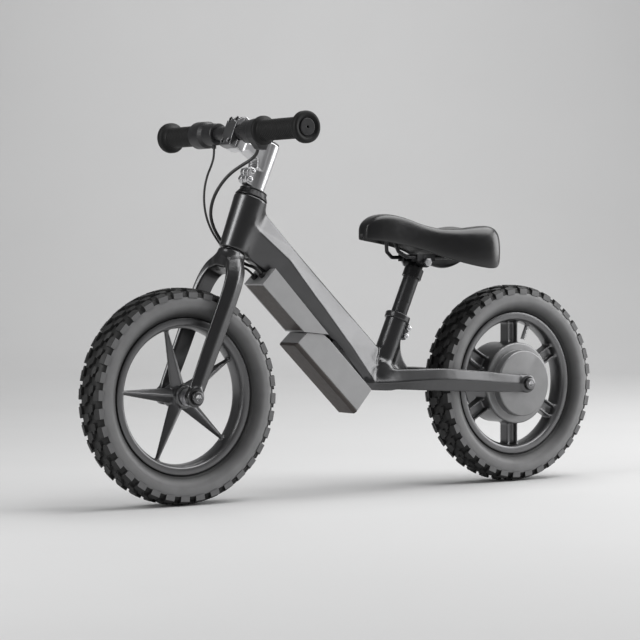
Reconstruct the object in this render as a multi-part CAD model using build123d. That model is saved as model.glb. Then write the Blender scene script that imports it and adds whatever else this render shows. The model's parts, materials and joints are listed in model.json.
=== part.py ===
from build123d import *
import os
import math

# Electric balance bike for a small child, 12 inch class.
# Frame: +X forward, +Y the rider's left, +Z up, origin on the ground midway
# between the two wheel axles.  Millimetres.

os.makedirs("parts", exist_ok=True)

# ------------------------------------------------------------------ sizes
WHEELBASE = 635.0          # axle to axle
TYRE_R = 159.0             # tread tops, also the axle height
XF = WHEELBASE / 2         # front axle
XR = -WHEELBASE / 2        # rear axle
ZA = TYRE_R
HEAD_ANGLE = 67.0          # steering axis from the ground
HEAD_X, HEAD_Z = 222.7, 372.0   # steering axis at the lower end of the head tube
SEAT_ANGLE = 66.0          # seat tube axis from the ground
SEAT_X, SEAT_Z = -88.6, 270.8   # seat axis at the top of the seat tube
BAR_X, BAR_Z = 217.1, 547.4     # handlebar axis
BAR_R = 11.1
BAR_HALF = 178.0
N_BLOCKS = 36              # tread blocks round each tyre
FORK_IN, FORK_OUT = 36.0, 47.0  # fork end plates, from the centre plane
STAY_IN, STAY_OUT = 39.5, 49.3  # rear end plates
AX_F = 5.0                 # front spindle radius
AX_R = 6.0                 # rear spindle radius
FIT = 0.05                 # radial clearance of a running fit
POST_R = 12.7              # seat post radius
STEERER_R = 11.0
STEM_R = 15.0              # stem tube outside radius
CTRL_HW = 25.0             # controller box half width
BATT_HW = 23.0             # battery box half width

HA = math.radians(HEAD_ANGLE)
SA = math.radians(SEAT_ANGLE)


# ------------------------------------------------------------------ helpers
def S(t, n=0.0, y=0.0):
    """Point t up the steering axis, n forward of it, y to the left."""
    return (HEAD_X - math.cos(HA) * t + math.sin(HA) * n, y,
            HEAD_Z + math.sin(HA) * t + math.cos(HA) * n)


SDIR = (-math.cos(HA), 0, math.sin(HA))
SN = (math.sin(HA), 0, math.cos(HA))


def Q(u, m=0.0, y=0.0):
    """Point u up the seat axis, m behind it, y to the left."""
    return (SEAT_X - math.cos(SA) * u - math.sin(SA) * m, y,
            SEAT_Z + math.sin(SA) * u - math.cos(SA) * m)


QDIR = (-math.cos(SA), 0, math.sin(SA))
QM = (-math.sin(SA), 0, -math.cos(SA))


def bar(p0, direction, r, h, ri=0.0):
    pl = Plane(origin=p0, z_dir=direction)
    s = pl * Cylinder(r, h, align=(Align.CENTER, Align.CENTER, Align.MIN))
    if ri:
        s = s - pl * Cylinder(ri, h * 3)
    return s


def ycyl(x, z, y0, y1, r, ri=0.0):
    lo, hi = min(y0, y1), max(y0, y1)
    pl = Plane(origin=(x, lo, z), x_dir=(1, 0, 0), z_dir=(0, 1, 0))
    s = pl * Cylinder(r, hi - lo, align=(Align.CENTER, Align.CENTER, Align.MIN))
    if ri:
        s = s - pl * Cylinder(ri, (hi - lo) * 3)
    return s


def poly_face(pl, pts):
    return pl * make_face(Polyline(*[(a, b) for a, b in pts], close=True))


def rev_y(x, z, pts):
    """Revolve a (radius, y) outline about the wheel axis through (x, z)."""
    pl = Plane(origin=(x, 0, z), x_dir=(1, 0, 0), z_dir=(0, 0, 1))
    return revolve(poly_face(pl, pts), Axis((x, 0, z), (0, 1, 0)), 360)


def rev_s(pts):
    """Revolve a (radius, t) outline about the steering axis."""
    pl = Plane(origin=S(0), x_dir=SN, z_dir=(0, -1, 0))
    return revolve(poly_face(pl, pts), Axis(S(0), SDIR), 360)


def rev_q(pts):
    """Revolve a (radius, u) outline about the seat axis."""
    pl = Plane(origin=Q(0), x_dir=QM, z_dir=(0, 1, 0))
    return revolve(poly_face(pl, pts), Axis(Q(0), QDIR), 360)


def prism(pts, y0, y1):
    """Extrude an (x, z) outline from y0 to y1."""
    lo, hi = min(y0, y1), max(y0, y1)
    pl = Plane(origin=(0, lo, 0), x_dir=(1, 0, 0), z_dir=(0, -1, 0))
    return extrude(poly_face(pl, pts), amount=-(hi - lo))


def sprism(pts, y0, y1):
    """Extrude a (t, n) outline of the steering frame from y0 to y1."""
    return prism([(S(t, n)[0], S(t, n)[2]) for t, n in pts], y0, y1)


def qprism(pts, y0, y1):
    return prism([(Q(u, m)[0], Q(u, m)[2]) for u, m in pts], y0, y1)


def hull(sections):
    """Ruled body through closed rings of 3-D corners, all with the same count."""
    return Solid.make_loft([Wire.make_polygon([Vector(*p) for p in s], close=True)
                            for s in sections], ruled=True)


def mir(s):
    return mirror(s, Plane.XZ)


def hexbolt(x, z, y_seat, side, head_r, head_h, shank_r, shank_len, af):
    """Socket head bolt along Y: seat face at y_seat, head outward (side = +-1)."""
    h = ycyl(x, z, y_seat, y_seat + side * head_h, head_r)
    s = ycyl(x, z, y_seat - side * shank_len, y_seat + side * 0.5, shank_r)
    b = h + s
    hx = Plane(origin=(x, y_seat + side * (head_h - 3.4), z), x_dir=(1, 0, 0), z_dir=(0, side, 0)) * \
        extrude(RegularPolygon(af / math.sqrt(3), 6), amount=6)
    return b - hx


def put(name, *solids):
    out = []
    for s in solids:
        for q in s.solids():
            out.append(q)
    obj = out[0] if len(out) == 1 else Compound(children=[Solid(q.wrapped) for q in out])
    obj.label = name
    export_step(obj, "parts/%s.step" % name)
    nodes[name] = (len(out), sum(q.volume for q in out))


nodes = {}


# ------------------------------------------------------------------ wheels
def gear(x, z, r_out, r_in, y0, y1, offset_deg, frac):
    """Ring of flat-topped blocks: N_BLOCKS teeth from y0 to y1."""
    pts = []
    pitch = 2 * math.pi / N_BLOCKS
    for k in range(N_BLOCKS):
        c = math.radians(offset_deg) + k * pitch
        h = pitch * frac / 2
        for a, r in ((-h, r_in), (-h, r_out / math.cos(h)), (h, r_out / math.cos(h)), (h, r_in)):
            pts.append((x + r * math.cos(c + a), z + r * math.sin(c + a)))
    return prism(pts, y0, y1) - ycyl(x, z, min(y0, y1) - 1, max(y0, y1) + 1, r_in - 3.5)


def tyre(x):
    half = [(110.4, 12.6), (116.4, 14.2), (118.0, 16.0), (120.5, 19.8), (126.0, 26.0),
            (132.0, 28.6), (139.0, 28.6), (145.0, 25.5), (149.5, 18.5), (151.6, 9.0), (152.2, 0.0)]
    inner = [(147.5, 0.0), (146.6, 9.0), (144.0, 16.0), (139.8, 21.5), (134.5, 24.0),
             (129.0, 23.6), (123.0, 20.0), (118.0, 13.5), (114.2, 10.6), (110.4, 9.2)]
    prof = half + [(r, -y) for r, y in reversed(half[:-1])] + [(r, -y) for r, y in reversed(inner)] + inner[1:]
    body = rev_y(x, ZA, prof)
    body += gear(x, ZA, TYRE_R, 150.6, -8.0, 8.0, -90.0, 0.62)
    for side in (1, -1):
        body += gear(x, ZA, 156.6, 149.0, side * 10.5, side * 18.5, -85.0, 0.55)
        body += gear(x, ZA, 151.2, 142.0, side * 20.5, side * 28.0, -87.2, 0.60)
    return body


def rim_ring(x):
    prof = [(116.0, 14.4), (116.0, 16.3), (112.5, 17.0), (104.5, 16.5), (102.0, 12.5), (100.4, 8.5),
            (99.6, 0.0)]
    back = [(106.4, 0.0), (106.8, 6.6), (110.0, 8.2), (110.2, 12.8)]
    pts = prof[:-1] + [(99.6, 0.0)] + [(r, -y) for r, y in reversed(prof[:-1])]
    pts += [(r, -y) for r, y in reversed(back)] + back[1:]
    return rev_y(x, ZA, pts)


def inner_tube(x):
    outer = []
    for k in range(16):
        a = 2 * math.pi * k / 16
        outer.append((128.3 + 15.6 * math.cos(a), 19.0 * math.sin(a) * (0.92 if math.cos(a) < -0.2 else 1.0)))
    inner = [(128.3 + (r - 128.3) * 0.9, y * 0.9) for r, y in outer]
    return rev_y(x, ZA, outer) - rev_y(x, ZA, inner)


put("front_tyre", tyre(XF))
put("rear_tyre", tyre(XR))
put("front_inner_tube", inner_tube(XF))
put("rear_inner_tube", inner_tube(XR))

# front wheel: cast five-spoke star, diamond section spokes narrowing to the rim
front_rim = rim_ring(XF)
hub = rev_y(XF, ZA, [(8.0, -22), (16.0, -22), (17.5, -20), (17.5, -15), (15.5, -13), (15.5, 13),
                     (17.5, 15), (17.5, 20), (16.0, 22), (8.0, 22)])
front_rim += hub
for k in range(5):
    a = math.radians(5 + 72 * k)
    e = (math.cos(a), 0, math.sin(a))
    g = (-math.sin(a), 0, math.cos(a))

    def pt(r, w, y):
        return (XF + e[0] * r + g[0] * w, y, ZA + e[2] * r + g[2] * w)
    front_rim += hull([[pt(9, 12.5, 0), pt(9, 0, 15), pt(9, -12.5, 0), pt(9, 0, -15)],
                       [pt(101, 3.2, 0), pt(101, 0, 4.5), pt(101, -3.2, 0), pt(101, 0, -4.5)]])
front_rim = front_rim - ycyl(XF, ZA, -30, 30, 6.2)
for sd in (1, -1):
    front_rim = front_rim - ycyl(XF, ZA, sd * 14, sd * 30, 13.0)
put("front_rim", front_rim)
put("front_hub_bearings", ycyl(XF, ZA, 14, 22, 13.0, AX_F + FIT), ycyl(XF, ZA, -22, -14, 13.0, AX_F + FIT))

# rear wheel: six channel spokes round the motor shell
MOTOR_R = 65.5
rear_rim = rim_ring(XR)
rear_rim += rev_y(XR, ZA, [(60.5, -34), (MOTOR_R, -34), (MOTOR_R, 19.5), (60.5, 19.5)])
for k in range(6):
    a = math.radians(90 + 60 * k)
    spoke = Pos(0, 0, 0) * Box(43, 3.6, 22) + Pos(0, 0, 9.4) * Box(43, 20, 3.4) + Pos(0, 0, -9.4) * Box(43, 20, 3.4)
    spoke = Pos(82, 0, 0) * spoke
    spoke = Rot(0, -math.degrees(a), 0) * spoke
    rear_rim += Pos(XR, 0, ZA) * spoke
rear_rim = rear_rim - ycyl(XR, ZA, -34.5, 20, 60.5)
put("rear_rim", rear_rim)

cover_l = rev_y(XR, ZA, [(12.0, 29), (12.0, 36), (10.0, 36), (10.0, 38), (51.7, 38), (53.2, 36.5), (53.2, 23.5),
                         (63.5, 23.5), (65.5, 22.0), (65.5, 19.5), (60.3, 19.5), (60.3, 16.5), (50.0, 16.5),
                         (50.0, 34.5), (16.0, 34.5), (16.0, 29)])
cover_r = rev_y(XR, ZA, [(12.0, -29), (12.0, -36), (10.0, -36), (10.0, -38), (46.0, -38), (52.0, -37.0),
                         (65.5, -36.5), (65.5, -34), (60.3, -34), (60.3, -31), (52.0, -31), (50.0, -34.5), (16.0, -34.5), (16.0, -29)])
put("motor_cover_left", cover_l)
put("motor_cover_right", cover_r)
put("motor_bearings", ycyl(XR, ZA, 29, 36, 12.0, AX_R + FIT), ycyl(XR, ZA, -36, -29, 12.0, AX_R + FIT))
put("motor_magnet_ring", ycyl(XR, ZA, -26, 12, 60.5, 56.0))
put("front_valve", bar((XF + 97.0 * math.cos(math.radians(131)), 0, ZA + 97.0 * math.sin(math.radians(131))),
                       (-math.cos(math.radians(131)), 0, -math.sin(math.radians(131))), 4.0, 25.0))
VA = math.radians(113.0)
vd = (-math.cos(VA), 0, -math.sin(VA))
vp = (XR + 99.0 * math.cos(VA), 0, ZA + 99.0 * math.sin(VA))
put("rear_valve", bar(vp, vd, 4.0, 24.0))

# ------------------------------------------------------------------ rear axle and motor core
axle_r = ycyl(XR, ZA, -STAY_OUT, STAY_OUT, AX_R)
for sd in (1, -1):
    axle_r = axle_r - ycyl(XR, ZA, sd * (STAY_OUT - 16), sd * 60, 3.0)
put("rear_axle", axle_r)
put("motor_stator", ycyl(XR, ZA, -22, 8, 26.0, AX_R) +
    (prism([(XR + r * math.cos(math.radians(a + 20 * k)), ZA + r * math.sin(math.radians(a + 20 * k)))
            for k in range(18) for r, a in ((24.5, -6.0), (49.0, -3.0), (49.0, -8.0), (55.4, -8.2), (55.4, 8.2),
                                          (49.0, 8.0), (49.0, 3.0), (24.5, 6.0))], -22, 8) - ycyl(XR, ZA, -30, 30, 20.0)))
put("motor_windings", ycyl(XR, ZA, 8.2, 14.5, 48.0, 27.0), ycyl(XR, ZA, -28.5, -22.2, 48.0, 27.0))
put("rear_spacers", ycyl(XR, ZA, 36.4, STAY_IN, 9.0, AX_R + 0.02), ycyl(XR, ZA, -STAY_IN, -36.4, 9.0, AX_R + 0.02))
put("rear_axle_washers", ycyl(XR, ZA, STAY_OUT, STAY_OUT + 1.2, 11.0, 3.1), ycyl(XR, ZA, -STAY_OUT - 1.2, -STAY_OUT, 11.0, 3.1))
put("rear_axle_bolts", hexbolt(XR, ZA, STAY_OUT + 1.2, 1, 9.0, 4.8, 2.98, 15.0, 8.0),
    hexbolt(XR, ZA, -STAY_OUT - 1.2, -1, 9.0, 4.8, 2.98, 15.0, 8.0))

# ------------------------------------------------------------------ frame casting
HEAD_LEN = 84.0
CTRL = [(162.3, 345.7), (185.3, 322.4), (109.3, 249.8), (64.3, 245.3)]
BATT = [(124.3, 229.5), (102.8, 248.7), (73.3, 245.8), (59.9, 236.0), (-19.7, 158.0), (12.3, 122.0)]

head = rev_s([(13.5, 0), (20.2, 0), (21.4, 1.2), (25.4, HEAD_LEN - 1.5), (24.4, HEAD_LEN), (13.5, HEAD_LEN)])


def beam_section(b, r, t, hb, hr, ht):
    """Six corners: bottom, ridge and top points in XZ with their half widths."""
    return [(b[0], -hb, b[1]), (b[0], hb, b[1]), (r[0], hr, r[1]), (t[0], ht, t[1]), (t[0], -ht, t[1]), (r[0], -hr, r[1])]


def x_line(p, q, a, b):
    """Intersection of line pq with line ab in the XZ plane."""
    d1 = (q[0] - p[0], q[1] - p[1])
    d2 = (b[0] - a[0], b[1] - a[1])
    k = ((a[0] - p[0]) * d2[1] - (a[1] - p[1]) * d2[0]) / (d1[0] * d2[1] - d1[1] * d2[0])
    return (p[0] + d1[0] * k, p[1] + d1[1] * k)


BOT = ((193.7, 364.6), (55.4, 244.8), (-32.7, 161.7))
RDG = ((153.7, 381.6), (-31.1, 168.0))
TOP = ((131.7, 388.6), (-29.1, 234.9))


def station(c):
    """Section square to the beam through the point c."""
    e = (c[0] - 0.69, c[1] + 0.72)
    lower = BOT[1:] if c[0] < 55 else BOT[:2]
    return (x_line(c, e, *lower), x_line(c, e, *RDG), x_line(c, e, *TOP))


hb0 = S(3, -6)
hr0 = S(44, -6)
ht0 = S(78, -6)
sec_head = beam_section((hb0[0], hb0[2]), (hr0[0], hr0[2]), (ht0[0], ht0[2]), 9, 20.5, 13)
secs = [sec_head]
for c, (hb, hr, ht) in (((140, 352), (9, 21.0, 9)), ((80, 292), (9, 21.5, 8.5)), ((20, 232), (11, 21.5, 9))):
    b, r, t = station(c)
    secs.append(beam_section(b, r, t, hb, hr, ht))
EB, ET = (-20.0, 160.5), (-46.0, 238.0)
ER = (EB[0] + (ET[0] - EB[0]) * (172.0 - EB[1]) / (ET[1] - EB[1]), 172.0)
secs.append(beam_section(EB, ER, ET, 18, 21.5, 10))
beam = hull(secs)

seat_tube = bar(Q(-100), QDIR, 16.5, 99.0)
shell_bb = prism([(-2, 165), (-12, 159.5), (-62, 157), (-70, 186), (-44, 200), (-20, 180)], -17, 17)
web_front = prism([(-20, 225), (-44, 236), (-56, 243), (-71, 262), (-60, 220), (-40, 180)], -8, 8)
web_rear = prism([(-84, 226), (-92, 204), (-103, 188), (-80, 180), (-50, 180), (-60, 200)], -9, 9)


def stay(sd):
    rings = []
    for x, yi, yo, zb, zr, zt in ((-14, 2, 19, 159.5, 168, 176), (-60, 6, 33, 157, 168, 187), (-100, 24, 44, 155, 170, 188.5),
                                  (-150, 34.8, 48.8, 152, 170.5, 188), (-225, 36.2, 49.3, 148.5, 165.5, 182),
                                  (-258, 39.3, 49.3, 147, 162, 178.5), (XR, 39.5, 49.3, 146.0, 158.5, 172.5)):
        ym = yi + 0.55 * (yo - yi)
        rings.append([(x, sd * yi, zb + 2), (x, sd * ym, zb), (x, sd * yo, zr), (x, sd * ym, zt), (x, sd * yi, zt - 1)])
    s = hull(rings)
    return s + ycyl(XR, ZA, sd * STAY_IN, sd * STAY_OUT, 14.4)


frame = head + beam + seat_tube + shell_bb + web_front + web_rear
frame = frame + stay(1) + stay(-1)
# bores and recesses
frame = frame - rev_s([(0, -1), (15.0, -1), (15.0, 9), (12.6, 9), (12.6, HEAD_LEN - 9), (15.0, HEAD_LEN - 9), (15.0, HEAD_LEN + 2), (0, HEAD_LEN + 2)])
frame = frame - bar(Q(-98), QDIR, POST_R + FIT, 104)
frame = frame - prism(CTRL, -CTRL_HW - 6, CTRL_HW + 6)
frame = frame - prism(BATT, -BATT_HW - 2, BATT_HW + 2)
for sd in (1, -1):
    frame = frame - ycyl(XR, ZA, sd * 30, sd * 60, AX_R) - ycyl(XR, ZA, sd * 34, sd * STAY_IN, 16.0)
# slit that lets the top of the seat tube close on the post
frame = frame - qprism([(-34, 8), (3, 8), (3, 26), (-34, 26)], -1.0, 1.0)
put("main_frame", frame)

put("head_bearings", rev_s([(STEERER_R + FIT, 1), (15.0, 1), (15.0, 8), (STEERER_R + FIT, 8)]),
    rev_s([(STEERER_R + FIT, HEAD_LEN - 8), (15.0, HEAD_LEN - 8), (15.0, HEAD_LEN - 1), (STEERER_R + FIT, HEAD_LEN - 1)]))

clamp = bar(Q(-8), QDIR, 20.0, 10.0)
ears = qprism([(-33, 12), (-33, 20), (-30.5, 24), (-26, 26), (-21, 24), (-19.3, 22.8), (-17.5, 24), (-12.5, 26), (-8, 24.5),
               (-5, 19), (-5, 12)], -8.0, 8.0)
clamp = clamp + ears - bar(Q(-60), QDIR, 16.52, 60.9) - bar(Q(-3), QDIR, 14.0, 9) - qprism([(-40, 8), (8, 8), (8, 30), (-40, 30)], -1.0, 1.0)
clamp = clamp - ycyl(Q(-26, 19.8)[0], Q(-26, 19.8)[2], -20, 20, 2.55) - ycyl(Q(-12.5, 19.8)[0], Q(-12.5, 19.8)[2], -20, 20, 2.55)
put("seat_clamp", clamp)
put("seat_clamp_bolts", *[hexbolt(Q(u, 19.8)[0], Q(u, 19.8)[2], 8.0, 1, 4.3, 4.6, 2.5, 18.5, 4.0) for u in (-26, -12.5)])

# controller and battery boxes
def offset_poly(pts, d):
    """Inset a polygon listed in order by d (either winding)."""
    n = len(pts)
    area = sum(pts[i][0] * pts[(i + 1) % n][1] - pts[(i + 1) % n][0] * pts[i][1] for i in range(n))
    sgn = 1 if area > 0 else -1
    lines = []
    for i in range(n):
        p, q = pts[i], pts[(i + 1) % n]
        L = math.hypot(q[0] - p[0], q[1] - p[1])
        nx, nz = -(q[1] - p[1]) / L * sgn, (q[0] - p[0]) / L * sgn
        lines.append(((p[0] + nx * d, p[1] + nz * d), (q[0] + nx * d, q[1] + nz * d)))
    return [x_line(*lines[i - 1], *lines[i]) for i in range(n)]


CT_IN = offset_poly(CTRL, 2.5)
case = prism(CTRL, -CTRL_HW, CTRL_HW) - prism(CT_IN, -CTRL_HW + 2.5, CTRL_HW - 2.5)
# the front and lower face is a separate cover let in between the side walls
cov_dir = (CTRL[2][0] - CTRL[1][0], CTRL[2][1] - CTRL[1][1])
cov_l = math.hypot(*cov_dir)
cu = (cov_dir[0] / cov_l, cov_dir[1] / cov_l)


def ctp(a, b):
    """Point a along the controller's lower edge from its front corner, b inward."""
    return (CTRL[1][0] + cu[0] * a + cu[1] * b, CTRL[1][1] + cu[1] * a - cu[0] * b)


cover_pts = [ctp(3.0, 0), ctp(cov_l - 3.0, 0), ctp(cov_l - 3.0, 2.5), ctp(3.0, 2.5)]
case = case - prism(cover_pts, -CTRL_HW + 2.6, CTRL_HW - 2.6)
END_N = (0.7117, 0.7025)       # outward normal of the front end face
GL = [(173.4, 8.0, 334.5), (176.4, -8.0, 331.5)]
for gx, gy, gz in GL:
    case = case - bar((gx - END_N[0] * 6, gy, gz - END_N[1] * 6), (END_N[0], 0, END_N[1]), 3.6, 12)
put("controller_case", case)
put("controller_cover", prism(cover_pts, -CTRL_HW + 2.7, CTRL_HW - 2.7))
board = prism([ctp(8, 12), ctp(cov_l - 10, 12), ctp(cov_l - 10, 13.6), ctp(8, 13.6)], -20, 20)
for a in (20, 36, 52):
    for y in (-14, 3):
        board = board + prism([ctp(a, 13.0), ctp(a + 9, 13.0), ctp(a + 9, 21.0), ctp(a, 21.0)], y, y + 11)
put("controller_board", board)
put("cable_glands", *[bar((gx - END_N[0] * 3, gy, gz - END_N[1] * 3), (END_N[0], 0, END_N[1]), 3.55, 3.2) +
                      bar((gx + END_N[0] * 0.02, gy, gz + END_N[1] * 0.02), (END_N[0], 0, END_N[1]), 5.0, 5.0)
                      for gx, gy, gz in GL])

BT_IN = offset_poly(BATT, 2.6)


def btp(a, b):
    """Point a down the battery's lower face from its front corner, b inward."""
    L = math.hypot(BATT[5][0] - BATT[0][0], BATT[5][1] - BATT[0][1])
    e = ((BATT[5][0] - BATT[0][0]) / L, (BATT[5][1] - BATT[0][1]) / L)
    return (BATT[0][0] + e[0] * a + e[1] * b, BATT[0][1] + e[1] * a - e[0] * b)


BL = math.hypot(BATT[5][0] - BATT[0][0], BATT[5][1] - BATT[0][1])
bcase = prism(BATT, -BATT_HW, BATT_HW)
bcase = bcase - prism(BT_IN, -BATT_HW + 2.6, BATT_HW - 2.6)
btray = prism([btp(-8, -1), btp(BL + 8, -1), btp(BL + 8, 6), btp(-8, 6)], -40, 40)
battery_cover = bcase & btray
battery_case = bcase - prism([btp(-8, -1), btp(BL + 8, -1), btp(BL + 8, 6.15), btp(-8, 6.15)], -40, 40)
# long lower edges are chamfered
for sd in (1, -1):
    cut = hull([[(btp(-12, -2)[0], sd * (BATT_HW + 2), btp(-12, -2)[1]), (btp(-12, -2)[0], sd * (BATT_HW - 5.5), btp(-12, -2)[1]),
                 (btp(-12, 5.5)[0], sd * (BATT_HW + 2), btp(-12, 5.5)[1])],
                [(btp(BL + 12, -2)[0], sd * (BATT_HW + 2), btp(BL + 12, -2)[1]), (btp(BL + 12, -2)[0], sd * (BATT_HW - 5.5), btp(BL + 12, -2)[1]),
                 (btp(BL + 12, 5.5)[0], sd * (BATT_HW + 2), btp(BL + 12, 5.5)[1])]])
    battery_cover = battery_cover - cut
put("battery_case", battery_case)
put("battery_cover", battery_cover)
bd = ((BATT[5][0] - BATT[0][0]) / BL, 0, (BATT[5][1] - BATT[0][1]) / BL)
cells = []
for a0 in (8.0, 77.0):
    for yy in (-9.6, 9.6):
        for b0 in (13.0, 32.4):
            if a0 > 50 or b0 < 20:
                p = btp(a0, b0)
                cells.append(bar((p[0], yy, p[1]), bd, 9.2, 64.5))
put("battery_cells", *cells)
pb = [btp(22, 25.0), btp(72, 25.0), btp(72, 26.6), btp(22, 26.6)]
put("battery_board", prism(pb, -17, 17))
rl = ((BATT[4][0] - BATT[3][0]), (BATT[4][1] - BATT[3][1]))
rll = math.hypot(*rl)
re_ = (rl[0] / rll, rl[1] / rll)


def rtp(a, b):
    return (BATT[3][0] + re_[0] * a + re_[1] * b, BATT[3][1] + re_[1] * a - re_[0] * b)


rail = prism([rtp(10, 0), rtp(rll - 4, 0), rtp(rll - 4, 16), rtp(10, 16)], -13, 13) - beam - shell_bb - stay(1) - stay(-1)
put("battery_rail", max(rail.solids(), key=lambda q: q.volume))

# ------------------------------------------------------------------ fork
CR = 21.2
fork = rev_s([(0, -2.2), (CR - 1.2, -2.2), (CR, -3.4), (CR, -24), (19.0, -30), (0, -30)])


def leg(sd):
    rings = []
    # (centre y, centre t, path slope angle from vertical, thickness, half width in n, centre n)
    for y, t, ang, th, hw, n0 in ((6, -15.5, 90, 25, 18.5, 1.0), (26, -24, 62, 21, 17.5, 2.5), (38.5, -47, 22, 15.5, 16.5, 3.8),
                                  (42.0, -85, 3, 12.5, 16.0, 4.05), (41.6, -150, 0, 11.5, 15.5, 4.05), (41.5, -222, 0, 11.0, 13.6, 4.05)):
        a = math.radians(ang)
        oy, ot = math.cos(a), math.sin(a)      # outward normal in the (y, t) plane
        ring = []
        for d, w in ((-0.5, 0.78), (-0.5, -0.78), (0.02, -1.0), (0.5, -0.12), (0.5, 0.12), (0.02, 1.0)):
            ring.append(S(t + ot * th * d, n0 + hw * w, sd * (y + oy * th * d)))
        rings.append(ring)
    return hull(rings) + ycyl(XF, ZA, sd * FORK_IN, sd * FORK_OUT, 14.4)


fork = fork + leg(1) + leg(-1)
steerer = rev_s([(0, -8), (STEERER_R, -8), (STEERER_R, 160), (0, 160)])
fork = fork + steerer - rev_s([(0, 60), (8.6, 60), (8.6, 161), (0, 161)])
for sd in (1, -1):
    fork = fork - ycyl(XF, ZA, sd * 30, sd * 60, AX_F)
put("fork", fork)
put("crown_race", rev_s([(STEERER_R, -2.2), (17.0, -2.2), (14.8, -0.4), (14.8, 0.6), (STEERER_R, 0.6)]))

axle_f = ycyl(XF, ZA, -FORK_OUT, FORK_OUT, AX_F)
for sd in (1, -1):
    axle_f = axle_f - ycyl(XF, ZA, sd * (FORK_OUT - 16), sd * 60, 3.0)
put("front_axle", axle_f)
put("front_spacers", ycyl(XF, ZA, 22.4, FORK_IN, 8.5, AX_F + 0.02), ycyl(XF, ZA, -FORK_IN, -22.4, 8.5, AX_F + 0.02))
put("front_axle_washers", ycyl(XF, ZA, FORK_OUT, FORK_OUT + 1.2, 11.0, 3.1), ycyl(XF, ZA, -FORK_OUT - 1.2, -FORK_OUT, 11.0, 3.1))
put("front_axle_bolts", hexbolt(XF, ZA, FORK_OUT + 1.2, 1, 9.0, 5.3, 2.98, 15.0, 8.0),
    hexbolt(XF, ZA, -FORK_OUT - 1.2, -1, 9.0, 5.3, 2.98, 15.0, 8.0))

# ------------------------------------------------------------------ headset cover and stem
put("headset_cover", rev_s([(STEERER_R + 0.02, HEAD_LEN + 0.5), (24.6, HEAD_LEN + 0.5), (25.2, HEAD_LEN + 1.8), (20.4, HEAD_LEN + 11), (21.2, HEAD_LEN + 11.8),
                            (21.2, HEAD_LEN + 13.2), (STEERER_R + 0.02, HEAD_LEN + 13.2)]))
T0 = HEAD_LEN + 13.2
STEM_TOP = 174.0
stem = rev_s([(STEERER_R + 0.02, T0), (STEM_R, T0), (STEM_R, STEM_TOP - 1.5), (STEM_R - 1.5, STEM_TOP), (STEERER_R + 0.02, STEM_TOP)])
EAR = [(101.0, 10), (99.8, 17), (101, 23), (105, 27.5), (110, 27.5), (113.3, 25.2), (116.5, 28), (122, 27.8), (126, 23.5), (127, 17), (126, 10)]
stem = stem + sprism(EAR, -10, 10)
# arm: thick at the tube, thinner towards the bar clamp
arm = [(172, 8), (171, 20), (158, 26), (155.5, 44), (163, 50), (163, 60), (139.5, 74), (139.0, 49), (144.6, 40), (140.2, 19), (128, 14.5), (128, 6)]
ARM_HW = 13.5
arm_s = sprism(arm, -ARM_HW, ARM_HW)
clampb = sprism([(179.5, 48), (189, 57), (189.5, 64.0), (179.0, 76.0), (152.5, 76.0), (139.2, 75.0), (139.0, 50)], -14, 14)
stem = stem + arm_s + clampb
stem = stem - bar(S(T0 - 5), SDIR, STEERER_R + 0.02, 100)
stem = stem - ycyl(BAR_X, BAR_Z, -20, 20, BAR_R + 0.02)
# pinch slit between the ears
stem = stem - sprism([(T0 - 1, 9), (128, 9), (128, 32), (T0 - 1, 32)], -0.9, 0.9)
EB = [(107.0, 20.8), (120.0, 21.2)]
for t, n in EB:
    stem = stem - ycyl(S(t, n)[0], S(t, n)[2], -20, 20, 2.55)
# the front of the bar clamp is a separate cap on four bolts
CUT_N = 63.4
capbox = sprism([(136, CUT_N), (193, CUT_N), (193, 90), (136, 90)], -20, 20)
bar_cap = stem & capbox
stem = stem - sprism([(136, CUT_N - 0.6), (193, CUT_N - 0.6), (193, 90), (136, 90)], -20, 20)
holes = [(t, y) for t in (145.8, 181.5) for y in (-8.5, 8.5)]
for t, y in holes:
    bar_cap = bar_cap - bar(S(t, CUT_N - 1, y), SN, 2.55, 40)
    stem = stem - bar(S(t, CUT_N - 12, y), SN, 2.5, 14)
for t, y in holes[:2]:
    bar_cap = bar_cap - bar(S(t, CUT_N + 7.5, y), SN, 4.2, 40)
for t, y in holes[2:]:
    bar_cap = bar_cap - bar(S(t, CUT_N + 7.5, y), SN, 4.2, 40)
put("stem", max(stem.solids(), key=lambda q: q.volume))
put("bar_cap", max(bar_cap.solids(), key=lambda q: q.volume))
capb = []
for t, y in holes:
    b = bar(S(t, CUT_N - 11, y), SN, 2.45, 19) + bar(S(t, CUT_N + 7.52, y), SN, 4.1, 4.0)
    pl = Plane(origin=S(t, CUT_N + 9.4, y), z_dir=SN)
    capb.append(b - pl * extrude(RegularPolygon(2.3, 6), amount=5))
put("bar_cap_bolts", *capb)
put("stem_pinch_bolts", *[hexbolt(S(t, n)[0], S(t, n)[2], 10.0, 1, 4.4, 4.6, 2.5, 22.0, 4.0) for t, n in EB])
put("stem_top_cap", rev_s([(0, 140.0), (8.55, 140.0), (8.55, 160.1), (STEERER_R - 0.05, 160.1), (STEERER_R - 0.05, STEM_TOP + 0.02), (14.2, STEM_TOP + 0.02), (13.4, STEM_TOP + 2.2), (0, STEM_TOP + 2.2)]))

# ------------------------------------------------------------------ handlebar and controls
put("handlebar", ycyl(BAR_X, BAR_Z, -BAR_HALF, BAR_HALF, BAR_R, 9.3))


def rev_bar(pts):
    return rev_y(BAR_X, BAR_Z, pts)


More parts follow.
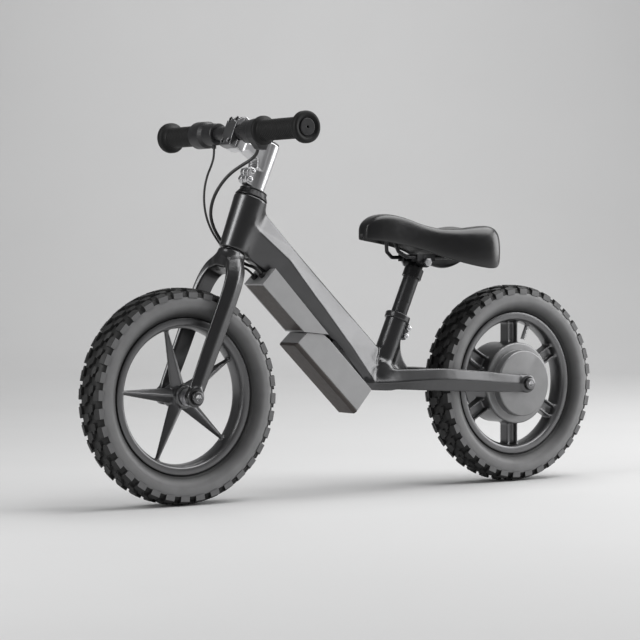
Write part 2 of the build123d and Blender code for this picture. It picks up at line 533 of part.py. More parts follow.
GB = BAR_R + FIT
put("left_grip", rev_bar([(GB, 70), (20.5, 70), (21.5, 71.2), (21.5, 76.5), (20.2, 77.8), (15.8, 78.5), (15.4, 100), (15.4, 160), (16.4, 170.5), (21.8, 173.8),
                          (23.3, 176), (23.3, 182.5), (22.2, 184.5), (16.5, 185), (16.5, 183), (13.5, 183), (13.5, 178), (GB, 178)]))
put("throttle_grip", rev_bar([(GB, -101), (15.6, -101), (15.2, -103), (15.0, -140), (15.2, -162), (16.4, -171), (21.8, -174),
                              (23.3, -176), (23.3, -182.5), (22.2, -184.5), (16.5, -185), (16.5, -183), (13.5, -183), (13.5, -178), (GB, -178)]))
put("bar_end_plugs", rev_bar([(2.0, 165), (9.25, 165), (9.25, 178.1), (13.0, 178.1), (13.0, 183.6), (12.0, 184.6), (2.0, 184.6)]),
    rev_bar([(2.0, -165), (9.25, -165), (9.25, -178.1), (13.0, -178.1), (13.0, -183.6), (12.0, -184.6), (2.0, -184.6)]))
throttle_housing = rev_bar([(BAR_R + 0.02, -44.5), (15.5, -44.5), (16.6, -46), (16.6, -69), (19.0, -72), (20.6, -74), (20.6, -99), (19.8, -100.4), (BAR_R + 0.02, -100.4)])
throttle_housing = throttle_housing + (bar((217.5, -57.5, 536), (0, 0, -1), 3.4, 10.0) - ycyl(BAR_X, BAR_Z, -60, -50, 14.0))
put("throttle_housing", throttle_housing)
lever_housing = rev_bar([(BAR_R + 0.02, 32), (15.8, 32), (17.5, 35), (17.5, 51), (BAR_R + 0.02, 51)])
lever_housing = lever_housing + (bar((206, 43, 547), (0, 0, -1), 4.2, 20.0) - ycyl(BAR_X, BAR_Z, 30, 60, 15.0))
put("lever_housing", max(lever_housing.solids(), key=lambda q: q.volume))
lever = rev_bar([(GB, 51.5), (18.6, 51.5), (18.6, 69.3), (GB, 69.3)])
LX, LZ = BAR_X, BAR_Z
lever = lever + (prism([(LX - 17, LZ + 5), (LX - 17.5, LZ - 12), (LX - 10, LZ - 28.5), (LX + 3, LZ - 27.0), (LX + 15, LZ - 10), (LX + 8, LZ)], 52.5, 68.0) - ycyl(LX, LZ, 40, 80, 15.0))
put("thumb_lever", lever)

# ------------------------------------------------------------------ seat post and saddle
PV_U, PV_M = 92.0, 0.0
PVX, PVZ = Q(PV_U, PV_M)[0], Q(PV_U, PV_M)[2]
put("seat_post", bar(Q(-56), QDIR, POST_R, 56 + 78.0, 10.4))
col = bar(Q(65), QDIR, 15.4, 13.2, POST_R + 0.02) + bar(Q(78.05), QDIR, 15.4, 3.0) + qprism([(80, -9), (80, 9), (100, 8), (100, -8)], -8.5, 8.5)
col = col - ycyl(PVX, PVZ, -30, 30, 4.05)
put("saddle_clamp", col)
RAIL_Y = 20.0
RAIL_DZ = 7.6
cheeks = []
for sd in (1, -1):
    c = ycyl(PVX, PVZ, sd * 8.9, sd * 24.5, 8.5) + prism([(PVX - 18, PVZ + 1.5), (PVX + 18, PVZ + 1.5), (PVX + 18, PVZ + 12.5), (PVX - 18, PVZ + 12.5)], sd * 10, sd * 24.5)
    c = c - ycyl(PVX, PVZ, sd * 5, sd * 40, 4.05 + FIT) - Plane(origin=(PVX - 30, sd * RAIL_Y, PVZ + RAIL_DZ), x_dir=(0, 1, 0), z_dir=(1, 0, 0)) * Cylinder(3.02, 80, align=(Align.CENTER, Align.CENTER, Align.MIN))
    cheeks.append(c)
put("saddle_clamp_cheeks", *cheeks)
put("saddle_clamp_bolt", ycyl(PVX, PVZ, -31.5, 31.5, 4.0) + Plane(origin=(PVX, 25.2, PVZ), x_dir=(1, 0, 0), z_dir=(0, 1, 0)) * extrude(RegularPolygon(7.0, 6), amount=5.5)
    + Plane(origin=(PVX, -25.2, PVZ), x_dir=(1, 0, 0), z_dir=(0, -1, 0)) * extrude(RegularPolygon(7.0, 6), amount=5.5))

# saddle: (x, half width, top, skirt bottom)
SAD = [(-17, 6, 401, 392), (-22, 13.5, 415, 390), (-38, 20, 426, 388), (-60, 23.5, 430, 385), (-90, 26, 425.5, 380), (-120, 31, 416, 373),
       (-150, 40, 410, 363), (-180, 54, 410, 354), (-205, 64, 413.5, 348), (-230, 68, 416, 345), (-248, 60, 411, 350), (-258, 40, 400, 362)]


def sad_ring(x, w, zt, zb):
    h = zt - zb
    up = [(0, zt - (0.05 * h if x < -170 else 0)), (0.5 * w, zt - 0.02 * h), (0.82 * w, zt - 0.10 * h), (0.97 * w, zt - 0.32 * h), (1.0 * w, zt - 0.62 * h), (0.96 * w, zb)]
    return [(x, y, z) for y, z in up] + [(x, 0, zb)] + [(x, -y, z) for y, z in reversed(up[1:])]


pad = hull([sad_ring(*s) for s in SAD])
CAV = [(-48, 14.5, 404, 380), (-70, 17, 402, 374), (-90, 20.5, 399, 370), (-120, 25.5, 391, 360), (-150, 34, 384, 350), (-180, 46, 384, 340), (-205, 54, 386, 335), (-228, 54, 388, 335), (-240, 44, 387, 335)]


def cav_ring(x, w, zt, zb, g=0.0, top=0.0, bot=None):
    z0 = zb if bot is None else bot
    return [(x, -(w - g), z0), (x, w - g, z0), (x, w - g, zt - 4 - top), (x, w - g - 4, zt - top), (x, -(w - g - 4), zt - top), (x, -(w - g), zt - 4 - top)]


cavity = hull([cav_ring(*s) for s in CAV])
put("saddle_pad", max((pad - cavity).solids(), key=lambda q: q.volume))
RA = 3.0
ZR = PVZ + RAIL_DZ
rails = []
for sd in (1, -1):
    pth = FilletPolyline((-222, sd * 26, 377.8), (-196, sd * 22, ZR + 1.5), (-168, sd * RAIL_Y, ZR), (-92, sd * RAIL_Y, ZR), (-78, sd * 15, ZR + 9), (-72, sd * 9, 393.0), radius=5.0)
    rails.append(sweep(Plane(origin=pth @ 0, z_dir=pth % 0) * Circle(RA), path=pth))
put("saddle_rails", *rails)
base = hull([cav_ring(x, w, zt, zb, 0.3, 0.3, zt - 6.5) for x, w, zt, zb in CAV[1:-1]])
for r in rails:
    base = base - r
put("saddle_base", max(base.solids(), key=lambda q: q.volume))

# ------------------------------------------------------------------ control cables
def cable(name, pts, r):
    vs = [Vector(*p) for p in pts]
    radii = []
    for i in range(1, len(vs) - 1):
        a, b = vs[i] - vs[i - 1], vs[i + 1] - vs[i]
        turn = math.radians(a.get_angle(b))
        run = min(a.length, b.length)
        radii.append(0.45 * run / math.tan(turn / 2))
    path = FilletPolyline(*vs, radius=radii)
    tube = sweep(Plane(origin=path @ 0, z_dir=path % 0) * Circle(r), path=path)
    print(name, "length %.1f" % path.length, "volume ratio %.4f" % (tube.volume / (math.pi * r * r * path.length)),
          "radii", [round(q, 1) for q in radii])
    put(name, tube)


G1 = (GL[0][0] + END_N[0] * 5.02, GL[0][1], GL[0][2] + END_N[1] * 5.02)
G2 = (GL[1][0] + END_N[0] * 5.02, GL[1][1], GL[1][2] + END_N[1] * 5.02)
G1B = (G1[0] + END_N[0] * 13, GL[0][1], G1[2] + END_N[1] * 13)
G2B = (G2[0] + END_N[0] * 13, GL[1][1], G2[2] + END_N[1] * 13)
cable("lever_cable", [(206, 43, 526.98), (206.0, 43, 517), (209.5, 32, 507), (219, 18, 498), (230, 3, 486), (239.5, -10, 468), (244.4, -21, 448), (243.5, -29, 427),
                      (236.0, -33, 409), (225.5, -34, 393), (214, -31, 378), (203.5, -22, 362.5), (195.5, -7, 351.5), G1B, G1], 2.5)
cable("throttle_cable", [(217.5, -57.5, 525.98), (217.5, -57.5, 515), (223, -56, 501), (232.8, -54, 484), (239.3, -51.5, 464), (241.8, -48.5, 443), (239.5, -45.5, 422),
                         (232.5, -43, 403), (222.5, -40.5, 387), (211, -37, 371.5), (201.5, -29, 358), (195, -18, 348), G2B, G2], 1.75)

for k, v in nodes.items():
    print("%-24s solids %d  volume %.0f" % (k, v[0], v[1]))
print(len(nodes), "nodes")
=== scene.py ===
import bpy
import math
import json
import numpy as np
import openvdb as vdb
from mathutils import Vector, Matrix
from mathutils.geometry import tessellate_polygon

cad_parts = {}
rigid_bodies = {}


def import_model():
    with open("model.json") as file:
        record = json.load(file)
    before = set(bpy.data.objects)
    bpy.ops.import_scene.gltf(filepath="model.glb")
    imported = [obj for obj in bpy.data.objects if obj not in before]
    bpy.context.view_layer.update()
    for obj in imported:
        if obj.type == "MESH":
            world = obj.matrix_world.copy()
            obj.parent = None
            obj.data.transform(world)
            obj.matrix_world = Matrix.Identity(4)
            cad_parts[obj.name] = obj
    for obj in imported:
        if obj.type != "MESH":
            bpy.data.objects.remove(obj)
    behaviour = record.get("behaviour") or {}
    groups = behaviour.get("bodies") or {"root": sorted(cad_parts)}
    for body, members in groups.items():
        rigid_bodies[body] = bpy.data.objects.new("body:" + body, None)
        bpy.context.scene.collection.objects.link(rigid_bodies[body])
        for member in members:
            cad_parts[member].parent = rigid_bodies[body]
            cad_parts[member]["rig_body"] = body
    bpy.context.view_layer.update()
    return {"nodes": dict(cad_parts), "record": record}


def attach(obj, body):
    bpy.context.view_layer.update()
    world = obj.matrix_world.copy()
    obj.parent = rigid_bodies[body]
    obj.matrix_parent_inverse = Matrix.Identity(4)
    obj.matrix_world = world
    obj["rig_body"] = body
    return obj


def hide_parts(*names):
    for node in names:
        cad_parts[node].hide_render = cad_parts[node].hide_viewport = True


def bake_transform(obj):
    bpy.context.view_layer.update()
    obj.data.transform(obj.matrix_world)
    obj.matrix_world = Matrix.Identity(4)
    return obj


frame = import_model()
NODES = frame["nodes"]

# ---------------------------------------------------------------- dimensions, millimetres
XF, XR, ZA, TYRE_R = 317.5, -317.5, 159.0, 159.0
HA, SA = math.radians(67.0), math.radians(66.0)
BAR_X, BAR_Z = 217.1, 547.4
HEAD_LEN = 84.0


def S(t, n=0.0, y=0.0):
    return (222.7 - math.cos(HA) * t + math.sin(HA) * n, y, 372.0 + math.sin(HA) * t + math.cos(HA) * n)


def Q(u, m=0.0, y=0.0):
    return (-88.6 - math.cos(SA) * u - math.sin(SA) * m, y, 270.8 + math.sin(SA) * u - math.cos(SA) * m)


SDIR, SN = Vector((-math.cos(HA), 0, math.sin(HA))), Vector((math.sin(HA), 0, math.cos(HA)))
QDIR, QM = Vector((-math.cos(SA), 0, math.sin(SA))), Vector((-math.sin(SA), 0, -math.cos(SA)))
YV = Vector((0, 1, 0))


# ---------------------------------------------------------------- camera
def camera():
    C = Vector((2.086306, 2.793448, 0.354561))
    yaw, pitch, roll, f = -2.201643, -0.026227, -0.0010195, 2255.634
    d = Vector((math.cos(pitch) * math.cos(yaw), math.cos(pitch) * math.sin(yaw), math.sin(pitch)))
    r = d.cross(Vector((0, 0, 1))).normalized()
    u = r.cross(d)
    r2 = r * math.cos(roll) + u * math.sin(roll)
    u2 = -r * math.sin(roll) + u * math.cos(roll)
    cam = bpy.data.cameras.new("camera")
    cam.sensor_width = 36.0
    cam.lens = 36.0 * f / 640.0
    cam.shift_x, cam.shift_y = -8.726 / 640.0, 1.661 / 640.0
    cam.clip_start, cam.clip_end = 0.05, 60.0
    o = bpy.data.objects.new("camera", cam)
    m = Matrix((r2, u2, -d)).transposed().to_4x4()
    m.translation = C
    o.matrix_world = m
    bpy.context.scene.collection.objects.link(o)
    bpy.context.scene.camera = o
    return o


CAM = camera()


# ---------------------------------------------------------------- mesh helpers
class M:
    """A polygon soup of closed surfaces, in millimetres."""

    def __init__(self):
        self.v, self.f = [], []

    def add(self, v, f):
        n = len(self.v)
        self.v += [tuple(p) for p in v]
        self.f += [tuple(i + n for i in q) for q in f]
        return self

    def join(self, other):
        return self.add(other.v, other.f)

    def arrays(self):
        tris = []
        for q in self.f:
            for i in range(1, len(q) - 1):
                tris.append((q[0], q[i], q[i + 1]))
        return np.array(self.v, np.float32), np.array(tris, np.uint32)


def loft(rings, closed=False, cap=True):
    """Quads through rings of equal count; each ring is a closed loop."""
    m = M()
    n = len(rings[0])
    v = [p for r in rings for p in r]
    f = []
    k = len(rings)
    for i in range(k if closed else k - 1):
        a, b = i * n, ((i + 1) % k) * n
        for j in range(n):
            j2 = (j + 1) % n
            f.append((a + j, a + j2, b + j2, b + j))
    if cap and not closed:
        for base, rev in ((0, True), ((k - 1) * n, False)):
            c = Vector((0, 0, 0))
            for j in range(n):
                c += Vector(v[base + j])
            v.append(tuple(c / n))
            ci = len(v) - 1
            for j in range(n):
                j2 = (j + 1) % n
                f.append((ci, base + j2, base + j) if rev else (ci, base + j, base + j2))
    return m.add(v, f)


def prism(poly, place, d0, d1):
    """Closed prism of a plane outline that may be concave. place(a, b, d) gives 3-D points."""
    n = len(poly)
    v = [place(a, b, d0) for a, b in poly] + [place(a, b, d1) for a, b in poly]
    f = [(i, (i + 1) % n, n + (i + 1) % n, n + i) for i in range(n)]
    for t in tessellate_polygon([[Vector((a, b, 0)) for a, b in poly]]):
        f.append(tuple(t))
        f.append(tuple(n + i for i in reversed(t)))
    return M().add(v, f)


def xz(a, b, d):
    return (a, d, b)


def tn(a, b, d):
    return S(a, b, d)


def um(a, b, d):
    return Q(a, b, d)


def revolve(prof, origin, axis, xdir, seg=96, closed=True):
    """Outline of (radius, distance along axis) turned about the axis."""
    axis, xdir = Vector(axis).normalized(), Vector(xdir).normalized()
    ydir = axis.cross(xdir)
    o = Vector(origin)
    rings = []
    for k in range(seg):
        a = 2 * math.pi * k / seg
        e = xdir * math.cos(a) + ydir * math.sin(a)
        rings.append([tuple(o + e * r + axis * h) for r, h in prof])
    return loft(rings, closed=True, cap=False)


def rev_y(x, z, prof, seg=96):
    return revolve(prof, (x, 0, z), (0, 1, 0), (1, 0, 0), seg)


def cyl(p0, axis, r, h, seg=64, r2=None):
    axis = Vector(axis).normalized()
    xd = axis.orthogonal().normalized()
    yd = axis.cross(xd)
    r2 = r if r2 is None else r2
    rings = []
    for d, rr in ((0, r), (h, r2)):
        rings.append([tuple(Vector(p0) + axis * d + (xd * math.cos(2 * math.pi * k / seg) + yd * math.sin(2 * math.pi * k / seg)) * rr) for k in range(seg)])
    return loft(rings)


def ycyl(x, z, y0, y1, r, seg=64):
    return cyl((x, min(y0, y1), z), (0, 1, 0), r, abs(y1 - y0), seg)


def catmull(pts, n):
    """Smooth samples through rows of numbers, n to each span."""
    P = [np.array(p, float) for p in pts]
    P = [2 * P[0] - P[1]] + P + [2 * P[-1] - P[-2]]
    out = []
    for i in range(1, len(P) - 2):
        for k in range(n):
            t = k / n
            a, b, c, d = P[i - 1], P[i], P[i + 1], P[i + 2]
            out.append(0.5 * (2 * b + (c - a) * t + (2 * a - 5 * b + 4 * c - d) * t * t + (3 * b - a - 3 * c + d) * t ** 3))
    out.append(P[-2])
    return out


# ---------------------------------------------------------------- solids blended on a distance grid
class Shell:
    def __init__(self, lo, hi, h, band=9):
        self.h, self.band = h, band
        self.i0 = np.floor(np.array(lo, float) / h).astype(int) - 4
        self.n = np.ceil(np.array(hi, float) / h).astype(int) + 4 - self.i0
        self.d = np.full(tuple(self.n), band * h, np.float32)

    def field(self, m):
        v, t = m.arrays()
        tr = vdb.createLinearTransform(voxelSize=self.h)
        g = vdb.FloatGrid.createLevelSetFromPolygons(v, triangles=t, transform=tr, halfWidth=float(self.band))
        out = np.empty(tuple(self.n), np.float32)
        g.copyToArray(out, ijk=tuple(int(i) for i in self.i0))
        return out

    @staticmethod
    def smin(a, b, k):
        h = np.maximum(k - np.abs(a - b), 0.0) / k
        return np.minimum(a, b) - h * h * k * 0.25

    def add(self, m, k=0.0):
        s = m if isinstance(m, np.ndarray) else self.field(m)
        self.d = self.smin(self.d, s, k) if k else np.minimum(self.d, s)
        return self

    def cut(self, m, k=0.0):
        s = -(m if isinstance(m, np.ndarray) else self.field(m))
        self.d = -self.smin(-self.d, -s, k) if k else np.maximum(self.d, s)
        return self

    def blur(self, times=1):
        for _ in range(times):
            for ax in range(3):
                a = self.d
                lo = np.roll(a, 1, ax)
                hi = np.roll(a, -1, ax)
                self.d = (lo + 2 * a + hi) * 0.25
        return self

    def mesh(self):
        lim = 3.0 * self.h
        d = np.clip(self.d, -lim, lim).astype(np.float32)
        g = vdb.FloatGrid(lim)
        g.copyFromArray(d, ijk=tuple(int(i) for i in self.i0), tolerance=1e-4)
        g.transform = vdb.createLinearTransform(voxelSize=self.h)
        p, t, q = g.convertToPolygons(isovalue=0.0, adaptivity=0.0)
        m = M()
        m.v = [tuple(x) for x in p.tolist()]
        m.f = [tuple(x) for x in t.tolist()] + [tuple(x) for x in q.tolist()]
        return m


# ---------------------------------------------------------------- objects
PIECES = []


def obj(name, m, body, material, replaces=(), smooth=True, angle=None, bevel=None, sub=0, relax=0):
    me = bpy.data.meshes.new(name)
    me.from_pydata([(x * 0.001, y * 0.001, z * 0.001) for x, y, z in m.v], [], m.f)
    me.validate()
    me.update()
    o = bpy.data.objects.new(name, me)
    bpy.context.scene.collection.objects.link(o)
    import bmesh
    bm = bmesh.new()
    bm.from_mesh(me)
    bmesh.ops.remove_doubles(bm, verts=bm.verts, dist=1e-6)
    bmesh.ops.recalc_face_normals(bm, faces=bm.faces)
    bm.to_mesh(me)
    bm.free()
    me.materials.append(material)
    if bevel:
        b = o.modifiers.new("bevel", "BEVEL")
        b.width = bevel * 0.001
        b.segments = 3
        b.limit_method = "ANGLE"
        b.angle_limit = math.radians(32)
        b.harden_normals = False
    if relax:
        r = o.modifiers.new("relax", "SMOOTH")
        r.factor = 0.5
        r.iterations = relax
    if sub:
        s = o.modifiers.new("subdivision", "SUBSURF")
        s.levels = s.render_levels = sub
    for p in me.polygons:
        p.use_smooth = smooth
    if smooth and angle:
        me.set_sharp_from_angle(angle=math.radians(angle))
    if body:
        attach(o, body)
    if replaces:
        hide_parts(*replaces)
    PIECES.append(o)
    return o


# ---------------------------------------------------------------- materials
def mk(name, col, rough, metal=0.0, var=0.06, vscale=45.0, rvar=0.05, rscale=120.0, bump=0.0, bscale=900.0, bdist=0.0002,
       coat=0.0, coat_r=0.15, spec=0.5, sheen=0.0, aniso=0.0, kind="noise", edge_highlight=0.0, dust=0.0):
    mat = bpy.data.materials.new(name)
    mat.use_nodes = True
    nt = mat.node_tree
    N, L = nt.nodes, nt.links
    b = N["Principled BSDF"]
    tc = N.new("ShaderNodeTexCoord")
    n1 = N.new("ShaderNodeTexNoise")
    n1.inputs["Scale"].default_value = vscale
    n1.inputs["Detail"].default_value = 6.0
    L.new(tc.outputs["Object"], n1.inputs["Vector"])
    ramp = N.new("ShaderNodeValToRGB")
    ramp.color_ramp.elements[0].position = 0.32
    ramp.color_ramp.elements[1].position = 0.68
    ramp.color_ramp.elements[0].color = tuple(max(0.0, c * (1 - var)) for c in col) + (1,)
    ramp.color_ramp.elements[1].color = tuple(min(1.0, c * (1 + var)) for c in col) + (1,)
    L.new(n1.outputs["Fac"], ramp.inputs["Fac"])
    color_out = ramp.outputs["Color"]
    # Painted highlight: convex edges (Pointiness) are mixed towards a lighter copy of the colour, standing in for bevel
    # highlights.
    if edge_highlight:
        geo = N.new("ShaderNodeNewGeometry")
        er = N.new("ShaderNodeMapRange")
        er.inputs["From Min"].default_value = 0.52
        er.inputs["From Max"].default_value = 0.60
        er.inputs["To Min"].default_value = 0.0
        er.inputs["To Max"].default_value = edge_highlight
        L.new(geo.outputs["Pointiness"], er.inputs["Value"])
        mix = N.new("ShaderNodeMix")
        mix.data_type = "RGBA"
        L.new(er.outputs["Result"], mix.inputs["Factor"])
        L.new(color_out, mix.inputs["A"])
        mix.inputs["B"].default_value = tuple(min(1.0, c * 2.6 + 0.02) for c in col) + (1,)
        color_out = mix.outputs["Result"]
    if dust:
        n4 = N.new("ShaderNodeTexNoise")
        n4.inputs["Scale"].default_value = 14.0
        n4.inputs["Detail"].default_value = 8.0
        n4.inputs["Roughness"].default_value = 0.7
        L.new(tc.outputs["Object"], n4.inputs["Vector"])
        dr = N.new("ShaderNodeMapRange")
        dr.inputs["From Min"].default_value = 0.45
        dr.inputs["From Max"].default_value = 0.75
        dr.inputs["To Max"].default_value = dust
        L.new(n4.outputs["Fac"], dr.inputs["Value"])
        mix2 = N.new("ShaderNodeMix")
        mix2.data_type = "RGBA"
        L.new(dr.outputs["Result"], mix2.inputs["Factor"])
        L.new(color_out, mix2.inputs["A"])
        mix2.inputs["B"].default_value = (0.30, 0.295, 0.285, 1)
        color_out = mix2.outputs["Result"]
    L.new(color_out, b.inputs["Base Color"])
    n2 = N.new("ShaderNodeTexNoise")
    n2.inputs["Scale"].default_value = rscale
    n2.inputs["Detail"].default_value = 5.0
    L.new(tc.outputs["Object"], n2.inputs["Vector"])
    mr = N.new("ShaderNodeMapRange")
    mr.inputs["From Min"].default_value = 0.3
    mr.inputs["From Max"].default_value = 0.7
    mr.inputs["To Min"].default_value = max(0.02, rough - rvar)
    mr.inputs["To Max"].default_value = min(1.0, rough + rvar)
    L.new(n2.outputs["Fac"], mr.inputs["Value"])
    L.new(mr.outputs["Result"], b.inputs["Roughness"])
    b.inputs["Metallic"].default_value = metal
    b.inputs["Specular IOR Level"].default_value = spec
    b.inputs["Coat Weight"].default_value = coat
    b.inputs["Coat Roughness"].default_value = coat_r
    b.inputs["Sheen Weight"].default_value = sheen
    b.inputs["Anisotropic"].default_value = aniso
    if bump:
        if kind == "leather":
            tex = N.new("ShaderNodeTexVoronoi")
            tex.feature = "DISTANCE_TO_EDGE"
            tex.inputs["Scale"].default_value = bscale
            out = tex.outputs["Distance"]
        elif kind == "brushed":
            mp = N.new("ShaderNodeMapping")
            mp.inputs["Scale"].default_value = (1.0, 1.0, 0.03)
            L.new(tc.outputs["Object"], mp.inputs["Vector"])
            tex = N.new("ShaderNodeTexNoise")
            tex.inputs["Scale"].default_value = bscale
            tex.inputs["Detail"].default_value = 3.0
            L.new(mp.outputs["Vector"], tex.inputs["Vector"])
            out = tex.outputs["Fac"]
        else:
            tex = N.new("ShaderNodeTexNoise")
            tex.inputs["Scale"].default_value = bscale
            tex.inputs["Detail"].default_value = 4.0
            out = tex.outputs["Fac"]
        if kind != "brushed":
            L.new(tc.outputs["Object"], tex.inputs["Vector"])
        bp = N.new("ShaderNodeBump")
        bp.inputs["Strength"].default_value = bump
        bp.inputs["Distance"].default_value = bdist
        L.new(out, bp.inputs["Height"])
        L.new(bp.outputs["Normal"], b.inputs["Normal"])
    return mat


PAINT = mk("frame_paint", (0.085, 0.085, 0.087), 0.30, metal=0.97, var=0.03, rvar=0.015, bump=0.02, bscale=2600, coat=0.35, coat_r=0.22)
FORKP = mk("fork_paint", (0.085, 0.085, 0.087), 0.29, metal=0.97, var=0.03, rvar=0.015, bump=0.02, bscale=2600, coat=0.35, coat_r=0.22)
RIMP = mk("rim_graphite", (0.16, 0.16, 0.163), 0.32, metal=0.9, var=0.03, rvar=0.02, bump=0.02, bscale=2200)
# motor_cover, black_alloy and tread_rubber carry an edge_highlight value: a painted highlight along their edges.
MOTOR = mk("motor_cover", (0.25, 0.25, 0.253), 0.42, metal=0.75, var=0.05, bump=0.06, bscale=2200, edge_highlight=0.3)
SILVER = mk("stem_silver", (0.66, 0.66, 0.67), 0.30, metal=1.0, var=0.02, rvar=0.02, bump=0.01, bscale=1800)
CAPM = mk("cap_alloy", (0.24, 0.24, 0.245), 0.34, metal=1.0, var=0.05, bump=0.06, bscale=2400)
BLACKA = mk("black_alloy", (0.022, 0.022, 0.023), 0.30, metal=0.6, var=0.08, bump=0.05, bscale=2400, edge_highlight=0.5)
BOLT = mk("steel_dark", (0.16, 0.16, 0.163), 0.30, metal=1.0, var=0.05, bump=0.04, bscale=2600)
BRIGHT = mk("steel_bright", (0.72, 0.72, 0.73), 0.22, metal=1.0, var=0.04, bump=0.04, bscale=2600)
STEEL = mk("steel_plain", (0.45, 0.45, 0.46), 0.32, metal=1.0, var=0.05, bump=0.06, bscale=1900)
# Partly painted sheen: the tyre rubber grey is set lighter than black rubber, standing in for the sheen on the
# sidewalls.
TYRE_PAINTED_SHEEN = mk("tyre_rubber", (0.20, 0.20, 0.202), 0.47, var=0.08, bump=0.10, bscale=1600, spec=0.45, dust=0.03)
TREAD = mk("tread_rubber", (0.011, 0.011, 0.011), 0.60, var=0.15, bump=0.25, bscale=1400, spec=0.4, edge_highlight=0.5)
LUG = mk("tread_side", (0.15, 0.15, 0.152), 0.50, var=0.10, bump=0.2, bscale=1400, spec=0.4)
TUBE = mk("tube_rubber", (0.02, 0.02, 0.02), 0.7, bump=0.1)
GRIP = mk("grip_rubber", (0.007, 0.007, 0.007), 0.58, var=0.12, bump=0.25, bscale=1700, spec=0.28)
BLACKP = mk("black_plastic", (0.014, 0.014, 0.015), 0.42, var=0.1, bump=0.12, bscale=1500)
BOXG = mk("box_grey", (0.36, 0.36, 0.365), 0.50, metal=0.25, var=0.03, bump=0.08, bscale=2400)
# Painted shade and painted reflection: the box underside is a darker, brown-tinted copy of the box grey, standing in
# for shade and a reflected brown podium.
BOXU_PAINTED_SHADE = mk("box_underside", (0.055, 0.046, 0.042), 0.50, metal=0.1, var=0.06, bump=0.08, bscale=2000)
SKIN = mk("saddle_skin", (0.006, 0.006, 0.0065), 0.33, var=0.1, coat=0.25, coat_r=0.25, bump=0.16, bscale=900, bdist=0.0003, kind="leather", spec=0.5)
JACKET = mk("cable_jacket", (0.012, 0.012, 0.012), 0.38, var=0.1, bump=0.05)
COPPER = mk("copper", (0.55, 0.25, 0.12), 0.35, metal=1.0, bump=0.1)
MAGNET = mk("magnet", (0.5, 0.5, 0.5), 0.3, metal=1.0, bump=0.05)
CIRCUIT = mk("circuit", (0.02, 0.12, 0.06), 0.4, bump=0.05)
CELL = mk("cell_wrap", (0.04, 0.14, 0.3), 0.35, bump=0.03)


def sidewall_painted_shade(name, cx):
    """Sidewall rubber with painted shade: its colour darkens towards the rim, where the sidewall turns away from the
    light.
    """
    mat = TYRE_PAINTED_SHEEN.copy()
    mat.name = name
    nt = mat.node_tree
    N, L = nt.nodes, nt.links
    b = N["Principled BSDF"]
    src = b.inputs["Base Color"].links[0].from_socket
    tc = N.new("ShaderNodeTexCoord")
    sub = N.new("ShaderNodeVectorMath")
    sub.operation = "SUBTRACT"
    sub.inputs[1].default_value = (cx * 0.001, 0.0, ZA * 0.001)
    L.new(tc.outputs["Object"], sub.inputs[0])
    mul = N.new("ShaderNodeVectorMath")
    mul.operation = "MULTIPLY"
    mul.inputs[1].default_value = (1.0, 0.0, 1.0)
    L.new(sub.outputs["Vector"], mul.inputs[0])
    ln = N.new("ShaderNodeVectorMath")
    ln.operation = "LENGTH"
    L.new(mul.outputs["Vector"], ln.inputs[0])
    # Painted shade: the base colour is scaled from 0.16 at radius 119 mm up to full strength at 134 mm.
    mr = N.new("ShaderNodeMapRange")
    mr.inputs["From Min"].default_value = 0.119
    mr.inputs["From Max"].default_value = 0.134
    mr.inputs["To Min"].default_value = 0.16
    mr.inputs["To Max"].default_value = 1.0
    L.new(ln.outputs["Value"], mr.inputs["Value"])
    sc = N.new("ShaderNodeVectorMath")
    sc.operation = "SCALE"
    L.new(src, sc.inputs[0])
    L.new(mr.outputs["Result"], sc.inputs["Scale"])
    L.new(sc.outputs["Vector"], b.inputs["Base Color"])
    return mat


SLOT_MAT = {"frame_paint": PAINT, "fork_paint": FORKP, "rim_graphite": RIMP, "motor_cover": MOTOR, "stem_silver": SILVER, "black_alloy": BLACKA,
            "steel_bright": BRIGHT, "steel_plain": STEEL, "tyre_rubber": TYRE_PAINTED_SHEEN, "tube_rubber": TUBE, "grip_rubber": GRIP, "black_plastic": BLACKP,
            "box_grey": BOXG, "box_underside": BOXU_PAINTED_SHADE, "saddle_skin": SKIN, "cable_jacket": JACKET, "copper": COPPER, "magnet": MAGNET,
            "circuit": CIRCUIT, "cell_wrap": CELL}
for sp in frame["record"]["subparts"]:
    o = NODES[sp["node"]]
    o.data.materials.clear()
    o.data.materials.append(SLOT_MAT[sp["material_slot"]])

# ---------------------------------------------------------------- main frame
CTRL = [(162.3, 345.7), (185.3, 322.4), (109.3, 249.8), (64.3, 245.3)]
BATT = [(124.3, 229.5), (102.8, 248.7), (73.3, 245.8), (59.9, 236.0), (-19.7, 158.0), (12.3, 122.0)]
BOT = ((193.7, 364.6), (55.4, 244.8), (-32.7, 161.7))
RDG = ((153.7, 381.6), (-31.1, 168.0))
TOP = ((131.7, 388.6), (-29.1, 234.9))


def x_line(p, q, a, b):
    d1 = (q[0] - p[0], q[1] - p[1])
    d2 = (b[0] - a[0], b[1] - a[1])
    k = ((a[0] - p[0]) * d2[1] - (a[1] - p[1]) * d2[0]) / (d1[0] * d2[1] - d1[1] * d2[0])
    return (p[0] + d1[0] * k, p[1] + d1[1] * k)


def sec(b, r, t, hb, hr, ht):
    return [(b[0], -hb, b[1]), (b[0], hb, b[1]), (r[0], hr, r[1]), (t[0], ht, t[1]), (t[0], -ht, t[1]), (r[0], -hr, r[1])]


